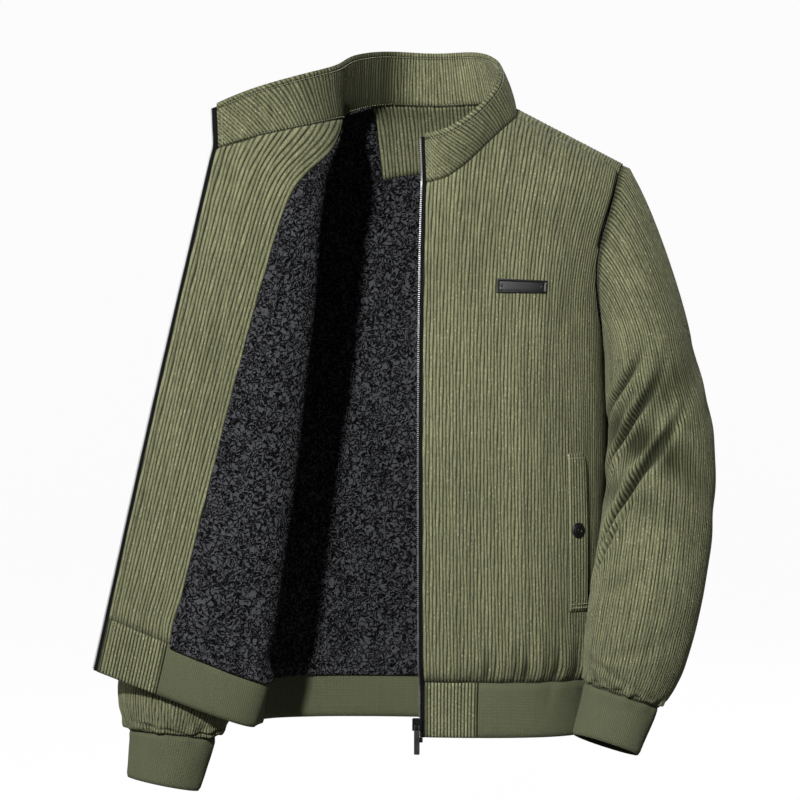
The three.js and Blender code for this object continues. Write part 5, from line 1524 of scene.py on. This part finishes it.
def rounded_ring(normal, reach=4):
    wide = np.concatenate([normal[:, -13:-1], normal, normal[:, 1:13]], 1)
    weight = np.exp(-0.5 * (np.arange(-12, 13) / reach) ** 2)
    weight /= weight.sum()
    out = sum(w * wide[:, k: k + normal.shape[1]] for k, w in enumerate(weight))
    return unit(out)


make_sleeve("left")
make_sleeve("right")
print("sleeves:", {k: (TRIANGLES[k], CUTS[k]) for k in TRIANGLES if "sleeve" in k})


# %% [markdown]
# ## Cuffs
# A cuff is a tube of the same rib knit, narrower than the sleeve that is gathered onto it.

# %% Cuffs
def make_cuff(side, per_rib=4):
    right = side == "right"
    centre, along, across, deep = (a[0] for a in arm_at(RIGHT_ARM if right else LEFT_ARM, np.ones(1)))
    turn_x, turn_y, hand_across, hand_deep = CUFF_END[side]
    axis = unit(along + [turn_x, turn_y, 0])
    n = CUFF_RIBS * per_rib
    F, A = np.meshgrid(np.linspace(0, 1, 15), -2 * math.pi * np.arange(n + 1) / n, indexing="ij")
    bend = unit(mix(along, axis, smooth(F[:, :1] * 2)[..., None]))
    tucked = 3.0 * np.clip(1 - F[:, :1] / 0.05, 0, 1)
    middle = centre + along * GAP + bend * (F[:, :1] * CUFF_LENGTH - tucked)[..., None]
    ring = (middle, bend, mix(across, hand_across, F), mix(deep, hand_deep, F))
    ridge = (1 - np.cos(2 * math.pi * np.arange(n + 1) / per_rib)) / 2 * np.ones_like(F)
    edge = F * CUFF_LENGTH
    out = RIB_HEIGHT * (ridge - 0.5) - 1.2 * hill((CUFF_LENGTH - edge) / 1.6) - 1.6 * hill(edge / 2.5)
    out = out + 0.5 * np.sin(5 * A + 3 * F) * np.sin(math.pi * F) + 0.7 * np.sin(11 * A) * hill(edge / 8)
    fine = ring_point(ring, A, right, out)
    coarse = ring_point(
        tuple(a if a.shape[1] == 1 else a[:, ::per_rib] for a in ring), A[:, ::per_rib], right, -CUFF_WALL
    )
    name, grids = "cuff_" + side, (fine, coarse, fine[:, ::per_rib])
    keys = {"held": "gathered", "rests_on": "sleeve_" + side, "slot": "rib_knit"}
    # The cuff's inner face takes the darker rib: painted shade.
    return sew(name + "_knit", [RIB, SHADED_RIB_INSIDE], name, grids, per_rib, 1, ring=True, wale=ridge, **keys)


make_cuff("left")
make_cuff("right")


# %% [markdown]
# ## Zip
# Each side is a woven tape with a row of teeth. The path of a zip edge is taken from the body cloth and
# the collar's end. Teeth are small shaped blocks 2.2 mm apart, set on a bead at the tape's edge.

# %% Zip tapes and teeth
def zip_path(right):
    w = np.concatenate(
        [np.linspace(HEM, HEM_SEAM, 9), np.linspace(HEM_SEAM, float(cloth_top(0, -1)), 90)[1:]]
    )
    s = np.full(len(w), 4.0 if right else 0.0)
    point, normal = garment(s, w)
    inner, _ = garment(np.full(len(w), 4 - 0.02 if right else 0.02), w)
    end, near = (-1, -20) if right else (0, 19)
    across_top = unit(NECK_POINTS[near] - NECK_POINTS[end])
    foot = NECK_POINTS[end] - across_top * ZIP_MARGIN
    h = np.linspace(0.06, 0.94, 12)[:, None]
    collar = foot + COLLAR_UP[end] * h * STAND["height"][end]
    across = np.concatenate([unit(inner - point), np.repeat(across_top[None], 12, 0)])
    normal = np.concatenate([normal, np.repeat(COLLAR_NORMALS[end][None], 12, 0)])
    (point, normal, across), at = along_length(np.concatenate([point, collar]), normal, across, step=2.2)
    point = rounded(point, 2)
    normal = unit(rounded(normal, 3))
    across = rounded(across, 3)
    across = unit(across - normal * (across * normal).sum(-1, keepdims=True))
    return point, normal, across, at


TOOTH = [
    (1.3, -0.36), (-0.3, -0.36), (-0.6, -0.52), (-1.0, -0.42), (-1.0, 0.42), (-0.6, 0.52), (-0.3, 0.36),
    (1.3, 0.36),
]


def make_zip_side(side):
    right = side == "right"
    point, normal, across, at = zip_path(right)
    along = unit(np.gradient(point, axis=0))
    verts, faces = [], []
    for k in range(1, len(point) - 1):
        base = len(verts)
        for depth in (0.35, -2.2):
            for a, b in TOOTH:
                shrink = 0.85 if depth > 0 else 1.0
                verts.append(point[k] + across[k] * a * shrink + along[k] * b * shrink + normal[k] * depth)
        m = len(TOOTH)
        faces.append([base + i for i in range(m)])
        faces.append([base + m + i for i in range(m)][::-1])
        faces += [[base + (i + 1) % m, base + i, base + m + i, base + m + (i + 1) % m] for i in range(m)]
    mesh = bpy.data.meshes.new("zip_teeth_" + side)
    mesh.from_pydata((np.array(verts) * MM).tolist(), [], faces)
    mesh.validate()
    fix_outward(mesh)
    teeth = add_object("zip_teeth_" + side + "_metal", mesh)
    TRIANGLES[teeth.name] = len(verts) // (2 * m) * (4 * m - 4)
    dress(teeth, ZIP_METAL, "zip_teeth_" + side, slot="zip_metal")
    wide = np.concatenate([np.linspace(0.4, TAPE_END, 13), TAPE_END + np.array([0.5, 1.2, 2.2, 4.0])])
    bead = 0.55 * hill((wide - 1.1) / 0.6)
    between = smooth((wide - TAPE_END + 0.4) / 1.2)
    top, bottom = mix(bead - 0.5, -SHELL - 0.05, between), mix(-1.7 - bead * 0.5, -SHELL - 0.25, between)
    outer = point[:, None] + across[:, None] * wide[:, None] + normal[:, None] * top[:, None]
    inner = point[:, None] + across[:, None] * wide[::4, None] + normal[:, None] * bottom[::4, None]
    tape = thin_wall("zip_tape_" + side + "_cloth", outer, inner, 4, 1, (wide[-1], at[-1]))
    return dress(tape, ZIP_TAPE, "zip_tape_" + side, slot="zip_cloth")


def fix_outward(mesh):
    """Turns the faces of a mesh outward."""
    bm = bmesh.new()
    bm.from_mesh(mesh)
    bmesh.ops.recalc_face_normals(bm, faces=bm.faces)
    bm.to_mesh(mesh)
    bm.free()
    mesh.update()


TAPE_END = ZIP_MARGIN - 0.2
make_zip_side("left")
make_zip_side("right")
# These stay the CAD's own solids, with their edges rounded by so many millimetres.
ROUNDED = {"zip_slider": (1.4, SLIDER_METAL), "zip_pull": (0.7, PULL_FACE_HIGHLIGHT_METAL), "zip_box": (0.5, MOULDED)}
for name, (width, finish) in ROUNDED.items():
    nodes[name].data.materials.clear()
    nodes[name].data.materials.append(finish)
    soften = nodes[name].modifiers.new("Rounded edges", "BEVEL")
    soften.width, soften.segments, soften.limit_method = width * MM, 3, "ANGLE"
    if name == "zip_pull":
        nodes[name].data.materials.append(SLIDER_METAL)
        soften.material = 1
print("zip:", {k: v for k, v in TRIANGLES.items() if "zip" in k})


# %% [markdown]
# ## Pockets, snaps and badge
# A welt is a folded strip of corduroy over the pocket's mouth, sewn down at both ends. Its outer edge
# stands a little proud. The snap's cap is turned, so it is a lathed profile. The badge is a moulded plate
# with a rim and two rivets, and it is bare.

# %% Welts
WELT_FROM, WELT_TO, WELT_TOP, WELT_BOTTOM, WELT_THICK = 164, 189, -359, -531, 2.0
WELT_LIFT = {"left": 0.4, "right": 0.9}


def on_front(side, cloth, w, out):
    s = 4 - cloth / QUARTER if side == "right" else cloth / QUARTER
    return garment(s, w, out)


def make_welt(side):
    right = side == "right"
    wales, per, rows = 7, 6, 44
    A, F = np.meshgrid(np.linspace(0, 1, wales * per + 1), np.linspace(0, 1, rows + 1))
    chamfer = 6.0 * smooth((A - 0.72) / 0.28) ** 1.5 + 3.0 * smooth((0.12 - A) / 0.12)
    top = WELT_TOP - chamfer
    cloth = mix(WELT_FROM, WELT_TO, A)
    W = mix(WELT_BOTTOM, top, F)
    wale = wale_profile(A * wales)
    ends = np.minimum(W - WELT_BOTTOM, top - W)
    sides = np.minimum(A, 1 - A) * (WELT_TO - WELT_FROM)
    press = seam_press(ends - 4, 0.9, 0.8) + seam_press(W - WELT_BOTTOM - 8, 0.9, 0.8)
    press = press + seam_press(ends, 1.4, 1.3) + seam_press(sides, 1.2, 1.2)
    free = 1.3 * smooth((A - 0.3) / 0.7) * np.sin(
        math.pi * np.clip((W - WELT_BOTTOM) / (WELT_TOP - WELT_BOTTOM), 0, 1)
    )
    lift = WELT_LIFT[side] + 0.4
    fine, _ = on_front(side, cloth, W, lift + WELT_THICK + WALE_HEIGHT * (wale - 0.5) + press + free)
    coarse, _ = on_front(side, cloth[:, ::per], W[:, ::per], lift + free[:, ::per])
    if right:
        fine, coarse, wale = (grid[:, ::-1] for grid in (fine, coarse, wale))
    name, keys = "welt_" + side, {"held": "folded", "rests_on": "front_" + side}
    return sew(name + "_cloth", CORDUROY, name, (fine, coarse, coarse), per, 1, wale=wale, **keys)


make_welt("left")
make_welt("right")


# %% Snaps and badge
SNAP_PROFILE = [
    (0, 3.1), (1.6, 3.1), (2.0, 2.75), (2.5, 2.75), (2.9, 3.15), (5.2, 3.0), (6.2, 2.75), (6.7, 2.3),
    (7.0, 2.35), (7.9, 2.1), (8.4, 1.5), (8.5, 1.0), (8.3, 0.45), (7.4, 0), (0, 0),
]


def make_snap(side):
    lift = WELT_LIFT[side] + WELT_THICK + (0.7 if side == "left" else 3.5)
    seat, normal = (a.reshape(3) for a in on_front(side, 175.0, -443.0, lift))
    x_axis = unit(np.cross([0, 0, 1.0], normal))
    y_axis = np.cross(normal, x_axis)
    turns = 56
    verts, faces = [], []
    rings = SNAP_PROFILE[1:-1]
    for r, h in rings:
        for k in range(turns):
            a = 2 * math.pi * k / turns
            verts.append(seat + x_axis * r * math.cos(a) + y_axis * r * math.sin(a) + normal * h)
    verts += [seat + normal * SNAP_PROFILE[0][1], seat]
    for i in range(len(rings) - 1):
        for k in range(turns):
            q = (k + 1) % turns
            faces.append([i * turns + k, i * turns + q, (i + 1) * turns + q, (i + 1) * turns + k])
    last = (len(rings) - 1) * turns
    faces += [[len(verts) - 2, (k + 1) % turns, k] for k in range(turns)]
    faces += [[len(verts) - 1, last + k, last + (k + 1) % turns] for k in range(turns)]
    mesh = bpy.data.meshes.new("snap_" + side + "_cap")
    mesh.from_pydata((np.array(verts) * MM).tolist(), [], faces)
    mesh.shade_smooth()
    fix_outward(mesh)
    mesh.set_sharp_from_angle(angle=math.radians(40))
    cap = add_object("snap_" + side + "_cap", mesh)
    return dress(cap, MOULDED, "snap_" + side, slot="black_trim")


make_snap("left")
make_snap("right")


BADGE_FROM_ZIP, BADGE_W, RIVET_INSET = 110, -179, 5.2


def make_badge():
    wide, high, thick = 54, 15, 1.6
    X, Z = np.meshgrid(np.linspace(0, wide, 109), np.linspace(0, high, 31))
    inset = np.minimum(np.minimum(X, wide - X), np.minimum(Z, high - Z))
    rim = smooth(inset / 0.5) - smooth((inset - 1.7) / 0.5)
    height = thick * (0.6 + 0.4 * smooth(inset / 0.6)) + 0.9 * rim
    height = height - 0.35 * hill((inset - 3.2) / 0.35)
    for at in (RIVET_INSET, wide - RIVET_INSET):
        far = np.hypot(X - at, Z - high / 2)
        height = height + 0.7 * np.sqrt(np.clip(1 - (far / 1.4) ** 2, 0, 1)) - 0.3 * hill((far - 1.7) / 0.3)
    s = (BADGE_FROM_ZIP - wide / 2 + X) / QUARTER
    w = BADGE_W - high / 2 + Z
    fine, _ = garment(s, w, GAP + 0.35 + height)
    coarse, _ = garment(s[::6, ::6], w[::6, ::6], GAP + 0.2)
    plate = thin_wall("badge_plate", fine, coarse, 6, 6, (wide, high))
    return dress(plate, BADGE_FACE, "badge", slot="black_trim")


BADGE_FACE = make_plain(
    "Badge face", (0.004, 0.004, 0.0045), 0.45, weave=0.00025, scale=1500, specular=0.45
)
make_badge()
print("trims:", {k: v for k, v in TRIANGLES.items() if "welt" in k or "badge" in k})


# %% [markdown]
# ## Sewing
# A stitch is a short length of thread that dips into the cloth at both ends, so each is a small bead,
# thin and round. Rows of them lie in the pressed line beside a seam. They join in one piece a panel.

# %% Stitches
STITCH_TRIANGLES = 36
COLLAR_STITCH, SEAM_STITCH = {"thick": 0.36}, {"pitch": 3.4, "long": 1.3, "thick": 0.32}
WELT_STITCH = {"pitch": 2.6, "long": 1.9}


def stitch_row(points, normals, pitch=2.9, long=2.2, thick=0.34):
    (points, normals), _ = along_length(points, normals, step=pitch / 4)
    along = unit(np.gradient(points, axis=0))
    middles = range(2, len(points) - 2, 4)
    return [(points[k], unit(normals[k]), along[k], long, thick) for k in middles]


def make_stitches(name, rows):
    verts, faces = [], []
    for place, normal, along, long, thick in rows:
        side = np.cross(normal, along)
        base = len(verts)
        for f, r, dip in ((-0.5, 0.35, -0.35), (-0.22, 1.0, 0.1), (0.22, 1.0, 0.1), (0.5, 0.35, -0.35)):
            for k in range(5):
                a = 2 * math.pi * k / 5
                around = (side * math.cos(a) + normal * math.sin(a)) * thick * r
                verts.append(place + along * f * long + around + normal * dip)
        for i in range(3):
            for k in range(5):
                q = (k + 1) % 5
                faces.append(
                    [base + 5 * i + k, base + 5 * i + q, base + 5 * i + 5 + q, base + 5 * i + 5 + k]
                )
        faces.append([base + k for k in range(5)][::-1])
        faces.append([base + 15 + k for k in range(5)])
    mesh = bpy.data.meshes.new(name)
    mesh.from_pydata((np.array(verts) * MM).tolist(), [], faces)
    mesh.validate()
    fix_outward(mesh)
    mesh.shade_smooth()
    thread = add_object(name, mesh)
    TRIANGLES[name] = len(rows) * STITCH_TRIANGLES
    return dress(thread, THREAD, None, slot="corduroy")


def collar_line(from_h_down=None, from_end=None, side="left", out=0.25):
    """A line of sewing on the collar's outer and inner face."""
    lines = []
    count = len(NECK_AT)
    for layer in (1, -1):
        offset = out if layer > 0 else -2 * COLLAR_WALL - GAP - out
        if from_h_down is not None:
            h = 1 - from_h_down / STAND["height"][None]
            p = collar_point(h, np.full((1, count), offset))[0]
            keep = slice(11, count - 11)
            n = COLLAR_NORMALS * layer
            lines.append((p[keep], n[keep]))
        else:
            k = int(from_end / NECK_STEP)
            k = k if side == "left" else count - 1 - k
            h = np.linspace(0.03, 0.88, 60)
            p = np.stack(
                [collar_point(np.full((1, count), x), np.full((1, count), offset))[0][k] for x in h]
            )
            lines.append((p, np.repeat(COLLAR_NORMALS[k][None] * layer, 60, 0)))
    return lines


collar_rows = []
for keys in ({"from_h_down": 6}, {"from_end": 8, "side": "left"}, {"from_end": 8, "side": "right"}):
    for line in collar_line(**keys):
        collar_rows += stitch_row(*line, **COLLAR_STITCH)
neck_seam = collar_line(from_h_down=STAND["height"] - 1.6)[1]
collar_rows += stitch_row(*(a[300:] for a in neck_seam), **SEAM_STITCH)
make_stitches("collar_topstitch", collar_rows)


welt_rows = []
for side in ("left", "right"):
    for w, inset in ((WELT_BOTTOM + 4.0, 1.5), (WELT_BOTTOM + 8.0, 1.5), (WELT_TOP - 6.0, 2.5)):
        cloth = np.linspace(WELT_FROM + 1.5, WELT_TO - inset, 30)
        line = on_front(side, cloth, np.full(30, w), WELT_LIFT[side] + WELT_THICK + 1.4)
        welt_rows += stitch_row(*line, **WELT_STITCH)
make_stitches("welt_stitching", welt_rows)

w = np.linspace(HEM + 3, float(cloth_top(0, -1)) - 4, 60)
points, normals = garment(4 - (ZIP_MARGIN + 7) / QUARTER, w, -UNDER_ROLLED_SHELL - FACING + 0.2)
make_stitches("zip_topstitch", stitch_row(points, -normals))
print("stitches:", sum(v for k, v in TRIANGLES.items() if "stitch" in k) // STITCH_TRIANGLES)


# %% [markdown]
# ## Studio
# White paper lies all round and curves up into a backdrop. A small hard light from the upper left leaves a
# clear shadow of the turned front on the lining. A weak one stands at the left side, a wide one behind,
# and the world is dim and even. The paper shines by itself, but it gives the jacket no light and doesn't
# show in its metal, so the folds keep their depth. The camera looks from 8 degrees to the jacket's left
# and 2 degrees above, through a long lens.

# %% Floor and backdrop
FLOOR_RADIUS, BEND, WALL_TOP = 8, 2, 7.0


def make_sweep(turns=72):
    """A round floor whose rim curves up, so that there is paper behind the jacket from every side."""
    turning = np.linspace(0, math.pi / 2, 14)
    profile = [(FLOOR_RADIUS + BEND * math.sin(a), BEND - BEND * math.cos(a)) for a in turning]
    profile.append((FLOOR_RADIUS + BEND, WALL_TOP))
    floor_z = cad_box[0].z - 0.3
    verts = [(0.0, 0.0, floor_z)]
    for r, z in profile:
        verts += [
            (r * math.cos(a), r * math.sin(a), floor_z + z) for a in np.arange(turns) * 2 * math.pi / turns
        ]
    faces = [[0, 1 + k, 1 + (k + 1) % turns] for k in range(turns)]
    for i in range(len(profile) - 1):
        for k in range(turns):
            p, q = 1 + i * turns + k, 1 + i * turns + (k + 1) % turns
            faces.append([p, p + turns, q + turns, q])
    mesh = bpy.data.meshes.new("studio_sweep")
    mesh.from_pydata(verts, [], faces)
    mesh.shade_smooth()
    sweep = add_object("studio_sweep", mesh)
    paper = bpy.data.materials.new("Studio paper")
    paper.use_nodes = True
    shader = paper.node_tree.nodes["Principled BSDF"]
    shader.inputs["Base Color"].default_value = (0.05, 0.05, 0.05, 1)
    shader.inputs["Specular IOR Level"].default_value = 0
    shader.inputs["Emission Color"].default_value = (1, 1, 1, 1)
    shader.inputs["Emission Strength"].default_value = 0.96
    mesh.materials.append(paper)
    sweep.visible_diffuse = False
    sweep.visible_glossy = False
    return sweep


make_sweep()


# %% Lights, world and camera
def aim(thing, place, target):
    thing.location = place
    thing.rotation_euler = (Vector(target) - Vector(place)).to_track_quat("-Z", "Y").to_euler()


LIT_MIDDLE = (-0.03, -0.02, -0.3)


def make_light(name, place, size, power):
    data = bpy.data.lights.new(name, "AREA")
    data.shape, data.size, data.energy = "DISK", size, power
    aim(add_object(name, data), place, LIT_MIDDLE)


make_light("Key", (-0.44, -3.0, 1.02), 0.2, 154)
make_light("Side", (-2.6, -1.4, 0.9), 0.8, 24)
make_light("Behind", (1.5, 2.9, 1.3), 1.2, 70)
world = bpy.data.worlds.new("Studio")
world.use_nodes = True
world.node_tree.nodes["Background"].inputs["Color"].default_value = (1, 1, 1, 1)
world.node_tree.nodes["Background"].inputs["Strength"].default_value = 0.165
bpy.context.scene.world = world
bpy.context.scene.view_settings.view_transform = "Standard"

camera_data = bpy.data.cameras.new("Camera")
camera = add_object("Camera", camera_data)
azimuth, elevation, distance, frame_width = math.radians(8), math.radians(2), 3.4, 0.8864
target = Vector((-0.033, -0.020, -0.305))
back = Vector(
    (math.sin(azimuth) * math.cos(elevation), -math.cos(azimuth) * math.cos(elevation), math.sin(elevation))
)
camera.location = target + back * distance
camera.rotation_euler = (-back).to_track_quat("-Z", "Y").to_euler()
camera_data.lens = camera_data.sensor_width * distance / frame_width
camera_data.clip_end = 50
bpy.context.scene.camera = camera
print("camera lens, mm:", round(camera_data.lens, 1))


# %% [markdown]
# ## Closing
# The triangles that were added are counted.

# %% Triangle count
total = sum(TRIANGLES.values())
print("triangles added:", total, "most in one piece:", max(TRIANGLES.items(), key=lambda kv: kv[1]))
